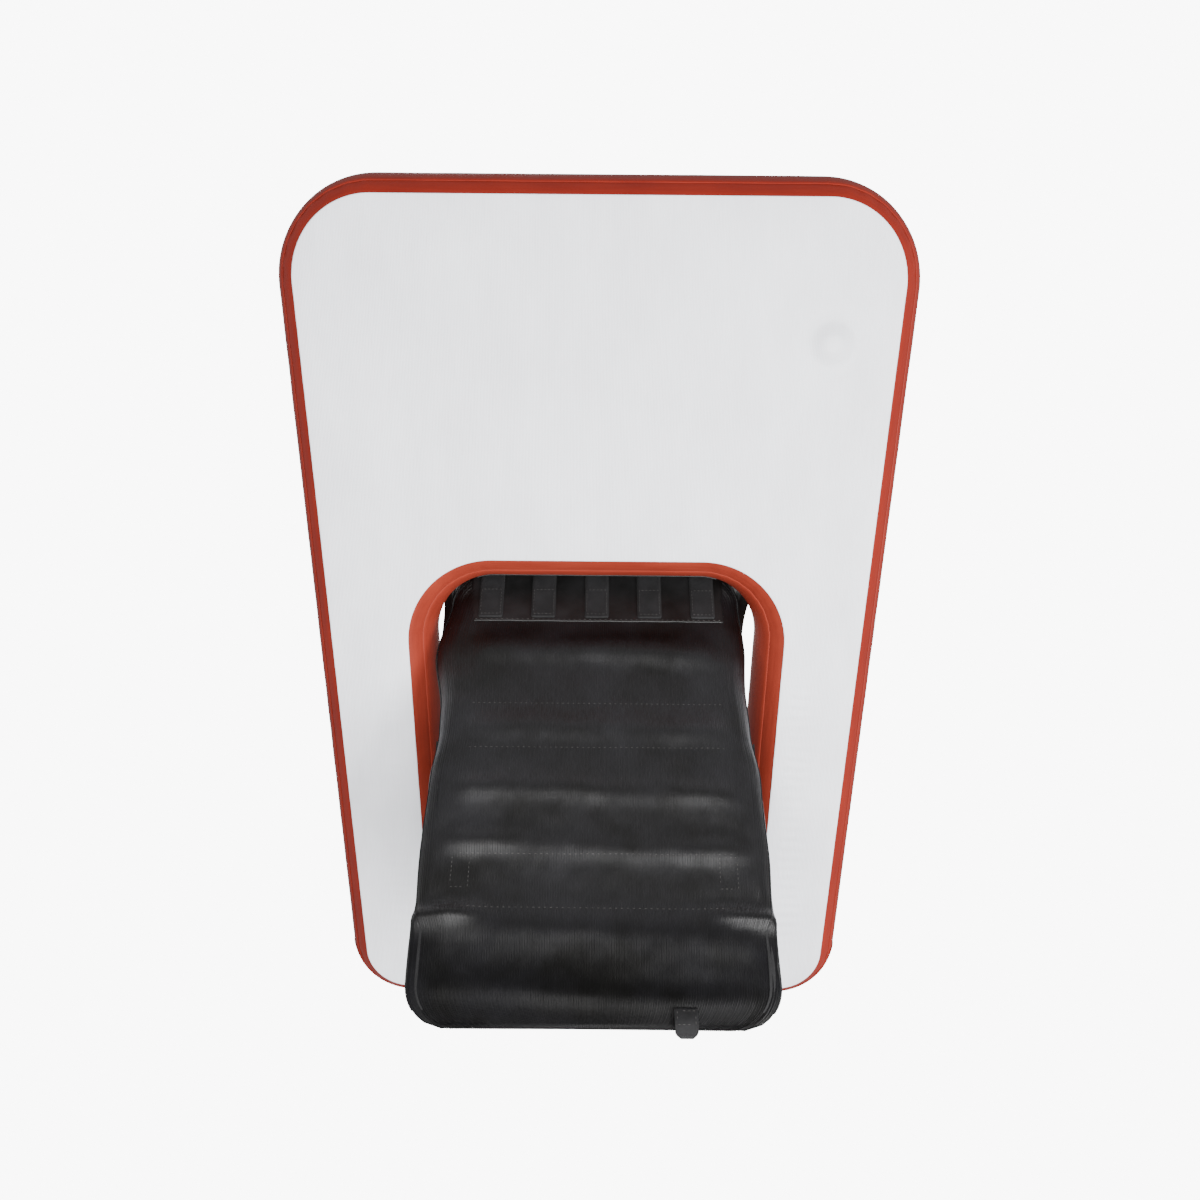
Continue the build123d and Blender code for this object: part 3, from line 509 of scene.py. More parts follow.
# ---- Red side walls ----
# Two strips of red coated fabric close the chamber, one round the outside and one round the notch.
# Air pressure swells them, and they gather a little where they go round a corner.
wall_bulge = 0.038
wall_half = (chamber_high - chamber_low) / 2
wall_radius = (wall_half**2 + wall_bulge**2) / (2 * wall_bulge)
wall_thickness = 0.0015
wall_tuck = 0.0016  # how far in from the faces' planes the strip starts
wall_rows = 26


def wall_out(height, proud=0.0):
    """How far past the outline the swollen wall stands at this height."""
    drop = height - wall_half
    return wall_bulge - wall_radius + math.sqrt((wall_radius + proud) ** 2 - drop**2)


def wall_profile(low, high, proud, thickness, rows, edge=0.0004):
    """Closed profile of a strip on the wall, as (out, height, across) with softened edges."""
    heights = [low + (high - low) * i / rows for i in range(rows + 1)]
    outer = [(wall_out(z, proud + thickness), z) for z in heights]
    outer[0] = (wall_out(low, proud + thickness - edge), low)
    outer.insert(1, (wall_out(low + edge * 1.5, proud + thickness), low + edge * 1.5))
    outer[-1] = (wall_out(high, proud + thickness - edge), high)
    outer.insert(-1, (wall_out(high - edge * 1.5, proud + thickness), high - edge * 1.5))
    inner = [(wall_out(z, proud), z) for z in reversed(heights[:: 3 if rows > 6 else 1])]
    return outer + inner


def sweep_strip(name, stops, profile, gather=0.0):
    """Carries a closed profile along a walk, with capped ends and a map in metres."""
    sketch = bmesh.new()
    across = [0.0]
    for a, b in zip(profile, profile[1:] + profile[:1]):
        across.append(across[-1] + math.hypot(b[0] - a[0], b[1] - a[1]))
    rows = []
    for place, normal, walked, bend in stops:
        row = []
        for out, height in profile:
            near_seam = math.exp(-(((min(height, chamber_high - height) - 0.016) / 0.013) ** 2))
            wave = math.sin(walked / 0.0043 + 2.5 * soft_noise(walked, height, size=0.03))
            lift = gather * near_seam * wave * min(abs(bend) * 0.14, 1.0)
            lift += 0.0003 * soft_noise(walked, height, size=0.05) if gather else 0.0
            lift *= smooth((min(height, chamber_high - height) - 0.005) / 0.010)
            spot = place + normal * (out + lift)
            row.append(sketch.verts.new((spot.x, spot.y, height)))
        rows.append(row)
    weave(sketch, rows, lambda i, k: (stops[k][2], across[i]), closed=True)
    return finish_piece(sketch, name)


def red_coated_fabric(name, low_tone, high_tone, shine):
    """Red PVC: even colour with faint long streaks, a fine weave and small scuffs."""
    material = new_material(name, high_tone, 0.5, Specular_IOR_Level=shine)
    cloth = cloth_place(material)
    plain = object_place(material)
    broad = mottle(material, plain, 0.12)
    streaks = mottle(material, cloth_place(material, scale=(0.08, 1, 1)), 0.006, detail=4.0)
    tone = weigh(material, (broad, 0.55), (streaks, 0.45))
    colour = ramp_between(material, tone, 0.3, 0.7, low_tone, high_tone)
    fine_weave = bands(material, cloth, 420.0, "X", 0.6, detail=1.0)
    height = weigh(material, (fine_weave, 0.4), (streaks, 0.6))
    wire_shader(material, colour, spread(material, broad, 0.44, 0.60), height, relief=0.0002, strength=0.45)
    return material


red_fabric = red_coated_fabric("red_coated_fabric", (0.130, 0.0078, 0.0036), (0.184, 0.0135, 0.0058), 0.17)
# The notch's walls and band wear a lighter, less saturated copy of the red: painted light that offsets the
# shade falling on them inside the notch.
notch_red_painted_light = red_coated_fabric("red_notch_fabric_painted_light", (0.150, 0.0180, 0.0100), (0.215, 0.0290, 0.0160), 0.08)
wall_section = wall_profile(wall_tuck, chamber_high - wall_tuck, -wall_thickness, wall_thickness, wall_rows)
for name, stops, node, fabric in (
    ("red_side_wall", side_walk, "side_wall", red_fabric),
    ("red_notch_wall", notch_walk, "notch_wall", notch_red_painted_light),
):
    wall = sweep_strip(name, stops, wall_section, gather=0.0009)
    fit_piece(wall, fabric, "root", "red_pvc", node)

# ---- Red bands ----
# A second layer of the same fabric is glued over each wall to carry the load along its length. Its
# edges show as a thin raised line all the way round.
band_low = 0.022
band_thickness = 0.0013
band_rows = 18
band_section = wall_profile(band_low, chamber_high - band_low, 0.0002, band_thickness, band_rows, edge=0.0005)
for name, stops, node, fabric in (
    ("red_side_band", side_walk, "side_band", red_fabric),
    ("red_notch_band", notch_walk, "notch_band", notch_red_painted_light),
):
    band = sweep_strip(name, stops, band_section, gather=0.0005)
    fit_piece(band, fabric, "root", "red_pvc", node)

# ---- Leg end covers ----
# A patch of red fabric goes over the seam at each leg's end, where the side band meets the notch band.
cover_low = 0.028
cover_section = wall_profile(cover_low, chamber_high - cover_low, 0.0016, band_thickness, 14, edge=0.0005)


def between(stops, low, high):
    """The stretch of a walk between two distances, measured from its start or its end if negative."""
    total = stops[-1][2]
    low, high = (value + total if value < 0 else value for value in (low, high))
    return [stop for stop in stops if low <= stop[2] <= high]


cover_reach_outer = 0.112
cover_reach_inner = 0.052
covers = []
for first_walk, first_reach, second_walk, second_reach in (
    (notch_walk, cover_reach_inner, side_walk, cover_reach_outer),
    (side_walk, cover_reach_outer, notch_walk, cover_reach_inner),
):
    cover_stops = between(first_walk, -first_reach, math.inf) + between(second_walk, 0.001, second_reach)
    covers.append(sweep_strip("cover", cover_stops, cover_section))


def join_pieces(pieces, name):
    """Joins pieces into one object, with a mesh of its own."""
    bpy.ops.object.select_all(action="DESELECT")
    for piece in pieces:
        piece.select_set(True)
    bpy.context.view_layer.objects.active = pieces[0]
    bpy.ops.object.join()
    pieces[0].name = name
    pieces[0].data.name = name
    return pieces[0]


leg_covers = join_pieces(covers, "leg_end_patches")
fit_piece(leg_covers, red_fabric, "root", "red_pvc", "leg_end_covers")

# ---- Ramp mesh ----
# One panel of black PVC-coated mesh with raised ribs down its length. It hangs from the hinge rod,
# sags between its two battens, turns up along both sides and widens to a flat foot with round corners.
rod_low, rod_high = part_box("hinge_rod")
rod_y = (rod_low[1] + rod_high[1]) / 2
rod_z = (rod_low[2] + rod_high[2]) / 2
ramp_slope = math.radians(48.6)
mesh_outside = -0.0111  # from the rod's plane to the mesh's water side
ramp_end = 0.742
rib_pitch = 0.0038
rib_height = 0.00042
mesh_thickness = 0.0012
row_pitch = 0.0074
foot_radius = 0.058
foot_start = 0.588
sag_centres = ((0.165, 0.060, 0.005), (0.398, 0.085, 0.006), (0.640, 0.048, 0.003))


def ramp_point(x, reach, rise):
    """A place on the ramp: across, down the slope from the rod and above the rod's plane."""
    return Vector((
        x,
        rod_y - reach * math.cos(ramp_slope) - rise * math.sin(ramp_slope),
        rod_z - reach * math.sin(ramp_slope) + rise * math.cos(ramp_slope),
    ))


def eased(value, stops):
    """Smooth change of a size between named places."""
    for (a, low), (b, high) in zip(stops, stops[1:]):
        if value <= b:
            return low + (high - low) * smooth((value - a) / (b - a))
    return stops[-1][1]


side_places = (
    (0.02, 0.226), (0.06, 0.241), (0.15, 0.246), (0.23, 0.241),
    (0.30, 0.244), (0.38, 0.2535), (0.49, 0.2545), (0.60, 0.251),
)
floor_places = ((0.03, 0.205), (0.07, 0.196), (0.30, 0.212), (0.50, 0.222), (0.60, 0.236))
height_places = ((0.02, 0.008), (0.075, 0.040), (0.36, 0.040), (0.55, 0.032), (foot_start + 0.035, 0.004))
ridges = (
    (0.172, 0.022, 0.0050), (0.308, 0.026, 0.0062), (0.412, 0.019, 0.0052),
    (0.496, 0.018, 0.0052), (0.618, 0.027, 0.0070), (0.708, 0.016, 0.0042),
)


def ramp_shape(side, reach):
    """x and rise of the ramp's water side. side runs from -1 to 1 across the cloth."""
    half = eased(reach, side_places)
    half += 0.018 * math.exp(-(((reach - 0.165) / 0.085) ** 2)) if side > 0 else 0.0
    floor_half = eased(reach, floor_places)
    height = eased(reach, height_places)
    if reach > ramp_end - foot_radius:
        over = reach - (ramp_end - foot_radius)
        half -= foot_radius - math.sqrt(max(foot_radius**2 - over**2, 0.0))
        floor_half = min(floor_half, half - 0.014)
    turn_length = (half - floor_half) * 0.55 + height * 0.9
    cloth_half = floor_half + turn_length
    along = abs(side) * cloth_half
    rise = 0.0
    if along <= floor_half:
        x = along
    else:
        angle = (along - floor_half) / turn_length * math.pi / 2
        x = floor_half + (half - floor_half) * math.sin(angle)
        rise = height * (1 - math.cos(angle))
    x = math.copysign(x, side)
    middle = smooth((floor_half + 0.012 - along) / 0.05)
    sag = sum(depth * math.exp(-(((reach - at) / width) ** 2)) for at, width, depth in sag_centres)
    drift = 0.011 * soft_noise(x, reach * 0.4, 3.0, size=0.20) + 0.006 * x / 0.25
    rolls = sum(tall * math.exp(-(((reach + drift - at) / width) ** 2)) for at, width, tall in ridges)
    envelope = smooth((reach - 0.105) / 0.05) * smooth((ramp_end - 0.012 - reach) / 0.04)
    rolls *= 1 + 0.75 * soft_noise(x, reach, 1.0, size=0.13)
    fine = 0.0012 * soft_noise(x * 0.45, reach, 5.0, size=0.035)
    fine += 0.0007 * soft_noise(x, reach, 9.0, size=0.022)
    edge_wave = 0.0035 * soft_noise(reach, side * 2, 11.0, size=0.07)
    edge_wave *= smooth((along - floor_half + 0.03) / 0.05)
    pleat = 0.011 * math.exp(-(((reach - foot_start - 0.010 + 0.10 * (floor_half - along)) / 0.011) ** 2))
    pleat *= smooth((along - 0.135) / 0.07)
    rise -= (sag * middle + rolls * middle + fine) * envelope + pleat * envelope
    return x + edge_wave * math.copysign(1, side) * 0.6, mesh_outside + rise + edge_wave * 0.4, cloth_half


mesh_start = 0.020
ramp_cloth_width = 0.560
rib_columns = 3 * round(ramp_cloth_width / rib_pitch)
ramp_rows = round((ramp_end - mesh_start) / row_pitch)
sketch = bmesh.new()
rows = []
for k in range(ramp_rows + 1):
    reach = mesh_start + (ramp_end - 0.0002 - mesh_start) * k / ramp_rows
    row = []
    for i in range(rib_columns + 1):
        side = 2 * i / rib_columns - 1
        x, rise, _ = ramp_shape(side, reach)
        rib = rib_height * math.cos(2 * math.pi * i / 3) * smooth((0.985 - abs(side)) / 0.02)
        row.append(sketch.verts.new(ramp_point(x, reach, rise - rib)))
    rows.append(row)
weave(sketch, rows, lambda i, k: (i / rib_columns * ramp_cloth_width, mesh_start + k * row_pitch))
ramp_panel = finish_piece(sketch, "ramp_panel", smooth_angle=80)
down = sum((f.normal.z * f.area for f in ramp_panel.data.polygons))
if down > 0:
    ramp_panel.data.flip_normals()
thicken(ramp_panel, mesh_thickness)


def black_coated_mesh():
    """Black PVC-coated mesh: glossy ribs, a fine weave across them, greyed where it is rubbed."""
    material = new_material("black_coated_mesh", (0.004, 0.004, 0.0045), 0.36, Specular_IOR_Level=0.33)
    cloth = cloth_place(material)
    plain = object_place(material)
    broad = mottle(material, plain, 0.09, detail=4.0)
    colour = ramp_between(material, broad, 0.35, 0.7, (0.0012, 0.0011, 0.0010), (0.0042, 0.0041, 0.0050))
    fine_weave = bands(material, cloth, 260.0, "Y", 0.5, detail=1.0)
    ribs = bands(material, cloth, 1 / rib_pitch / 2, "X", 0.25)
    grain = mottle(material, plain, 0.0016, detail=2.0)
    height = weigh(material, (fine_weave, 0.35), (grain, 0.3), (ribs, 0.8))
    down_ramp = add_node(material, "ShaderNodeSeparateXYZ", [(0, cloth)]).outputs["Y"]
    smooth_foot = add_node(
        material,
        "ShaderNodeMapRange",
        [("Value", down_ramp), ("From Min", foot_start), ("From Max", foot_start + 0.05),
         ("To Min", 0.33), ("To Max", 0.10)],
    ).outputs["Result"]
    material.node_tree.links.new(
        smooth_foot, material.node_tree.nodes["Principled BSDF"].inputs["Specular IOR Level"]
    )
    wire_shader(material, colour, spread(material, broad, 0.26, 0.46), height, relief=0.0004, strength=0.6)
    return material


mesh_black = black_coated_mesh()
fit_piece(ramp_panel, mesh_black, "ramp", "black_mesh", "ramp_mesh", "ramp_apron")

# ---- Webbing and cloth strips ----
# The ramp's head is reinforced with a band of black PVC, and five webbing tabs fold round the hinge
# rod with a tail sewn on each side of the mesh. Only the water side's tails show from below.
head_band_start = 0.011
head_band_end = 0.112
head_band_half = 0.212
head_band_thickness = 0.0014
tab_width = 0.040
tab_pitch = 0.044
tab_tail_start = 0.0035
tab_tail_end = 0.105
tab_thickness = 0.0022
webbing_rib = 0.0022


def mesh_rise(x, reach):
    """Rise of the mesh's water side at a place across and down the ramp."""
    reach = max(reach, mesh_start)
    return ramp_shape(x / ramp_shape(0, reach)[2], reach)[1] - rib_height


def ramp_plate(name, half_width, start, end, rise, thickness, wobble, centre=0.0, radius=0.004):
    """A flat strip of cloth on the ramp, proud of the mesh by rise, with a map in metres."""
    pitch = 0.003
    sketch = bmesh.new()
    columns = max(4, round(2 * half_width / (pitch * 1.6)))
    lines = max(4, round((end - start) / pitch))
    grid = []
    for k in range(lines + 1):
        reach = start + (end - start) * k / lines
        from_end = min(reach - start, end - reach)
        trim = radius - math.sqrt(max(radius**2 - max(radius - from_end, 0) ** 2, 0))
        row = []
        for i in range(columns + 1):
            x = centre + (half_width - trim) * (2 * i / columns - 1)
            lift = wobble * soft_noise(x, reach, rise * 50, size=0.03)
            row.append(sketch.verts.new(ramp_point(x, reach, mesh_rise(x, reach) - rise + lift)))
        grid.append(row)
    weave(sketch, grid, lambda i, k: (2 * half_width * i / columns, (end - start) * k / lines))
    piece = finish_piece(sketch, name)
    if sum(f.normal.z * f.area for f in piece.data.polygons) > 0:
        piece.data.flip_normals()
    thicken(piece, thickness)
    return piece


def stitch_line(sketch, places, thread=0.0009, stitch=0.0042, gap=0.0022):
    """A row of sewn stitches along straight runs between places, each a small pointed bead."""
    for (start, outward), (end, _) in zip(places, places[1:]):
        run = end - start
        length = run.length
        along = run.normalized()
        beside = along.cross(outward).normalized()
        for i in range(int(length / (stitch + gap))):
            middle = start + along * (i * (stitch + gap) + stitch / 2)
            tips = [sketch.verts.new(middle + along * s * stitch / 2) for s in (-1, 1)]
            waist = [
                sketch.verts.new(middle + a * thread * 0.5)
                for a in (beside, outward * 0.9, -beside, -outward * 0.4)
            ]
            for a, b in zip(waist, waist[1:] + waist[:1]):
                sketch.faces.new((tips[0], a, b))
                sketch.faces.new((tips[1], b, a))


def black_webbing(name="black_webbing", colour=(0.0045, 0.0044, 0.0048)):
    """Black polyester webbing: cross ribs, a tight twill and a little dust."""
    material = new_material(
        name, colour, 0.62, Specular_IOR_Level=0.22, Sheen_Weight=0.03, Sheen_Roughness=0.5
    )
    plain = object_place(material)
    broad = mottle(material, plain, 0.03)
    light = tuple(c * 2.1 for c in colour)
    across = bands(material, plain, 1 / webbing_rib / 2, "X", 0.3)
    twill = bands(material, plain, 300.0, "DIAGONAL", 0.4)
    shade = ramp_between(material, broad, 0.35, 0.75, colour, light)
    height = weigh(material, (across, 0.6), (twill, 0.4))
    wire_shader(material, shade, spread(material, twill, 0.52, 0.72), height, relief=0.0005, strength=0.8)
    return material


def black_pvc():
    """Smooth black PVC-coated cloth with a soft shine and faint creases."""
    material = new_material("black_pvc", (0.008, 0.008, 0.0085), 0.4, Specular_IOR_Level=0.30)
    plain = object_place(material)
    broad = mottle(material, plain, 0.07, detail=4.0)
    creases = mottle(material, plain, 0.012, detail=3.0)
    colour = ramp_between(material, broad, 0.35, 0.7, (0.0030, 0.0029, 0.0028), (0.0075, 0.0072, 0.0076))
    wire_shader(material, colour, spread(material, broad, 0.32, 0.52), creases, relief=0.0008, strength=0.4)
    return material


webbing_black = black_webbing()
pvc_black = black_pvc()
thread_grey = black_webbing("dark_thread", (0.030, 0.029, 0.028))

head_band_rise = 0.0005
head_band = ramp_plate(
    "ramp_head_band", head_band_half, head_band_start, head_band_end, head_band_rise,
    head_band_thickness, wobble=0.0009,
)
fit_piece(head_band, pvc_black, "ramp", "black_pvc")

tab_rise = head_band_rise + head_band_thickness + 0.0007
tab_tails = []
for i in range(-2, 3):
    drift = 0.0012 * soft_noise(i * 0.37, 0.2, size=0.2)
    tab_x = i * 2 * tab_pitch + drift
    tab_tails.append(
        ramp_plate(
            "tail", tab_width / 2, tab_tail_start, tab_tail_end, tab_rise, tab_thickness, 0.0008, tab_x, 0.002
        )
    )
tab_tails = join_pieces(tab_tails, "ramp_tab_tails")
fit_piece(tab_tails, webbing_black, "ramp", "black_webbing")

# ---- Ramp seams ----
# Rows of thread hold the head band, the tabs' boxes, the batten sleeves and the foot's patches.
water_side = (ramp_point(0, 0, -1) - ramp_point(0, 0, 0)).normalized()
seam_reaches = (0.109, 0.265, 0.342, 0.508, 0.585)
seam_piece = bmesh.new()
for reach in seam_reaches:
    half = 0.197 if reach > head_band_end else 0.205
    proud = 0.0 if reach > head_band_end else head_band_thickness + 0.0006
    pieces_of_seam = 48
    places = []
    for k in range(pieces_of_seam + 1):
        x = half * (2 * k / pieces_of_seam - 1)
        places.append((ramp_point(x, reach, mesh_rise(x, reach) - proud), water_side))
    stitch_line(seam_piece, places)
tab_face = tab_rise + tab_thickness + 0.0003
for i in range(-2, 3):
    middle = i * 2 * tab_pitch
    box_line = []
    for beside, reach in ((-1, 0.052), (1, 0.052), (1, 0.100), (-1, 0.100), (-1, 0.052)):
        x = middle + beside * 0.0165
        box_line.append((ramp_point(x, reach, mesh_rise(x, reach) - tab_face), water_side))
    stitch_line(seam_piece, box_line)
for x0, r0, x1, r1 in ((0.178, 0.512, 0.203, 0.556), (-0.203, 0.512, -0.178, 0.556)):
    places = []
    for x, reach in ((x0, r0), (x1, r0), (x1, r1), (x0, r1), (x0, r0)):
        places.append((ramp_point(x, reach, mesh_rise(x, reach)), water_side))
    stitch_line(seam_piece, places)
ramp_seams = finish_piece(seam_piece, "ramp_seams", smooth_angle=60)
fit_piece(ramp_seams, thread_grey, "ramp", "black_webbing")

# ---- Ramp edge binding ----
# A folded tape closes the mesh's raw edge along both sides and round the foot.
binding_reach = 0.013
binding_rows = 96
tapes = []
for side in (-1, 1):
    sketch = bmesh.new()
    rings = []
    for k in range(binding_rows + 1):
        reach = mesh_start + 0.002 + (ramp_end - 0.004 - foot_radius * 0.35 - mesh_start) * k / binding_rows
        cloth_half = ramp_shape(side, reach)[2]
        edge_x, edge_rise_here, _ = ramp_shape(side, reach)
        inner_x, inner_rise, _ = ramp_shape(side * (1 - binding_reach / cloth_half), reach)
        edge = Vector((edge_x, edge_rise_here))
        inner = Vector((inner_x, inner_rise))
        tangent = (edge - inner).normalized()
        normal = Vector((-tangent.y, tangent.x))
        outer_half = 0.0015
        rounding = [
            inner + normal * outer_half,
            edge + normal * outer_half,
            edge + tangent * outer_half * 0.8 + normal * outer_half * 0.7,
            edge + tangent * outer_half,
            edge + tangent * outer_half * 0.8 - normal * outer_half * 0.7,
            edge - normal * outer_half,
            inner - normal * outer_half,
        ]
        ripple = 0.0004 * math.sin(reach / 0.0011)
        rings.append([sketch.verts.new(ramp_point(p.x, reach, p.y + ripple + 0.0006)) for p in rounding])
    weave(sketch, rings, lambda i, k: (i * 0.004, k * 0.0075), closed=True)
    tapes.append(finish_piece(sketch, "tape"))
binding = join_pieces(tapes, "ramp_edge_binding")
fit_piece(binding, webbing_black, "ramp", "black_webbing")

# ---- Hinge patch and flap ----
# A black PVC patch on the notch's head wall carries the fixed tabs. A flap of the same cloth runs
# from its upper edge over the rod, so that no paw goes down between the platform and the ramp.
hinge_patch_half = 0.215
hinge_patch_low = 0.060
hinge_patch_high = 0.1415
patch_section = wall_profile(hinge_patch_low, hinge_patch_high, 0.0019, 0.0014, 14, edge=0.0005)
head_stops = [
    stop for stop in notch_walk
    if abs(stop[0].x) < hinge_patch_half and stop[0].y > notch_line_y - notch_head_radius * 0.8
]
hinge_patch = sweep_strip("hinge_patch", head_stops, patch_section)
fit_piece(hinge_patch, pvc_black, "root", "black_pvc", "hinge_strip")

flap_half = 0.196
flap_line = []
flap_low = hinge_patch_high - 0.012
for k in range(5):
    height = flap_low + 0.0112 * k / 4
    flap_line.append((notch_line_y - wall_out(height, 0.0040), height))
flap_top = flap_line[-1][1]
flap_reach = rod_y - 0.0150
for k in range(1, 9):
    share = k / 8
    y = flap_line[4][0] + (flap_reach - flap_line[4][0]) * share
    flap_line.append((y, flap_top + 0.0028 * math.sin(math.pi * share) - 0.0035 * share**3))
sketch = bmesh.new()
flap_columns = 90
grid = []
for k, (y, height) in enumerate(flap_line):
    row = []
    for i in range(flap_columns + 1):
        x = flap_half * (2 * i / flap_columns - 1)
        ripple = 0.0011 * soft_noise(x, 0.0, size=0.045) * k / len(flap_line)
        row.append(sketch.verts.new((x, y, height + ripple)))
    grid.append(row)
weave(sketch, grid, lambda i, k: (i * 2 * flap_half / flap_columns, k * 0.004))
hinge_flap = finish_piece(sketch, "hinge_flap")
if sum(f.normal.z * f.area for f in hinge_flap.data.polygons) < 0:
    hinge_flap.data.flip_normals()
thicken(hinge_flap, 0.0012, offset=1.0)
fit_piece(hinge_flap, pvc_black, "root", "black_pvc")

# ---- Ramp gussets ----
# A gusset of black PVC closes the corner between the notch's wall and the ramp's side at its head.
# It stands partly for that real cloth and partly for the shadowed gap beside the ramp's head: a dark sheet
# put in as painted shade.
gusset_rows = 14
gusset_columns = 18
gusset_inner_x = 0.196
gusset_on_wall = 0.080
gusset_on_ramp = 0.085
gussets = []
for side in (-1, 1):
    wall_stops = [
        stop for stop in notch_walk
        if gusset_inner_x < side * stop[0].x and notch_line_y - gusset_on_wall < stop[0].y < 0
    ]
    wall_stops.sort(key=lambda stop: -stop[0].y)
    sketch = bmesh.new()
    grid = []
    for k in range(gusset_columns + 1):
        share = k / gusset_columns
        place, normal, _, _ = wall_stops[round(share * (len(wall_stops) - 1))]
        height = 0.114 - 0.012 * share
        on_wall = place + normal * wall_out(height, 0.0036)
        on_wall = Vector((on_wall.x, on_wall.y, height))
        reach = 0.034 + gusset_on_ramp * share
        edge_x, edge_rise_here, _ = ramp_shape(side * 0.97, reach)
        on_ramp = ramp_point(edge_x, reach, edge_rise_here - 0.0012)
        row = []
        for i in range(gusset_rows + 1):
            across = i / gusset_rows
            slack = Vector((0, 0.2, 1)) * 0.010 * math.sin(math.pi * across)
            crease = 0.0014 * math.sin(share * 23 + across * 4) * math.sin(math.pi * across)
            row.append(sketch.verts.new(on_wall.lerp(on_ramp, across) + slack + Vector((0, 0, crease))))
        grid.append(row)
    weave(sketch, grid, lambda i, k: (i * 0.005, k * 0.006))
    gusset = finish_piece(sketch, "gusset")
    thicken(gusset, 0.0012, offset=0.0)
    gussets.append(gusset)
ramp_gussets_and_painted_shade = join_pieces(gussets, "ramp_gussets_and_painted_shade")
wear_material(ramp_gussets_and_painted_shade, pvc_black)
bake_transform(ramp_gussets_and_painted_shade)

# ---- Webbing tabs ----
# Nine loops of folded webbing take the hinge rod in turn, five on the ramp and four on the platform.


def soften(node, name, width, segments=2, sharp_angle=30.0):
    """A copy of one of the frame's nodes with its hard edges rounded, as on a moulded or worn piece."""
    sketch = bmesh.new()
    sketch.from_mesh(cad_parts[node].data)
    bmesh.ops.remove_doubles(sketch, verts=sketch.verts, dist=1e-6)
    bmesh.ops.dissolve_limit(sketch, angle_limit=math.radians(1.5), verts=sketch.verts, edges=sketch.edges)
    sharp = [e for e in sketch.edges if e.is_manifold and e.calc_face_angle() > math.radians(sharp_angle)]
    bmesh.ops.bevel(sketch, geom=sharp, offset=width, segments=segments, affect="EDGES", clamp_overlap=True)
    bmesh.ops.triangulate(sketch, faces=[f for f in sketch.faces if len(f.verts) > 4])
    return finish_piece(sketch, name, smooth_angle=35.0)


def fit_softened(node, name, width, material, body, slot, segments=2):
    """A softened copy of a node, in the node's place."""
    fit_piece(soften(node, name, width, segments=segments), material, body, slot, node)


fit_softened("ramp_tabs", "ramp_tab_loops", 0.0005, webbing_black, "ramp", "black_webbing")
fit_softened("fixed_tabs", "platform_tab_loops", 0.0005, webbing_black, "root", "black_webbing")

# ---- Hinge rod and its caps ----
# A drawn aluminium tube runs through the nine loops. Soft plastic caps pushed on its ends keep it in.


def worn_metal(name, colour, gloss, line_turn):
    """Bare metal with fine drawing lines, dulled a little by salt."""
    material = new_material(name, colour, gloss, Metallic=1.0)
    plain = object_place(material)
    lines = mottle(material, object_place(material, scale=line_turn), 0.0008, detail=3.0)
    dull = mottle(material, plain, 0.018, detail=5.0)
    shade = ramp_between(material, dull, 0.35, 0.75, tuple(c * 0.86 for c in colour), colour)
    rough = spread(material, dull, gloss - 0.07, gloss + 0.16)
    wire_shader(material, shade, rough, lines, relief=0.0001, strength=0.3)
    return material


def moulded_plastic(name, colour, gloss, grain=0.0007, relief=0.00012):
    """Moulded plastic or rubber with a fine spark grain and faint handling marks."""
    material = new_material(name, colour, gloss, Specular_IOR_Level=0.42)
    plain = object_place(material)
    rubbed = mottle(material, plain, 0.014, detail=5.0)
    worn = tuple(min(c * 1.25, 1) for c in colour)
    shade = ramp_between(material, rubbed, 0.35, 0.75, tuple(c * 0.82 for c in colour), worn)
    fine = mottle(material, plain, grain, detail=2.0)
    rough = spread(material, rubbed, gloss - 0.06, gloss + 0.14)
    wire_shader(material, shade, rough, fine, relief=relief, strength=0.5)
    return material


rod_metal = worn_metal("drawn_aluminium", (0.62, 0.63, 0.65), 0.30, (0.02, 1, 1))
soft_black = moulded_plastic("soft_black_plastic", (0.018, 0.018, 0.020), 0.50)
fit_softened("hinge_rod", "hinge_rod_tube", 0.0006, rod_metal, "root", "rod_aluminium")
fit_softened("hinge_rod_caps", "hinge_rod_end_caps", 0.0016, soft_black, "root", "valve_rubber", 3)

# ---- Ramp battens and their sleeves ----
# Two flat plastic battens slide into PVC sleeves sewn across the ramp, and make rungs for paws.
batten_white = moulded_plastic("batten_plastic", (0.55, 0.56, 0.57), 0.40)
fit_softened("ramp_battens", "spreader_battens", 0.0012, batten_white, "ramp", "batten_plastic", 3)
fit_softened("ramp_sleeves", "batten_sleeves", 0.0005, pvc_black, "ramp", "black_pvc")

# ---- Ballast hem ----
# A tube of PVC cloth across the ramp's foot holds a steel ballast tube with a plug in each end.
ballast_metal = worn_metal("ballast_steel", (0.56, 0.56, 0.55), 0.34, (0.02, 1, 1))
fit_softened("ballast_hem", "ballast_sleeve", 0.0004, pvc_black, "ramp", "black_pvc")
fit_softened("ballast_tube", "ballast_bar", 0.0004, ballast_metal, "ramp", "stainless")
fit_softened("ballast_caps", "ballast_plugs", 0.0012, soft_black, "ramp", "valve_rubber", 3)

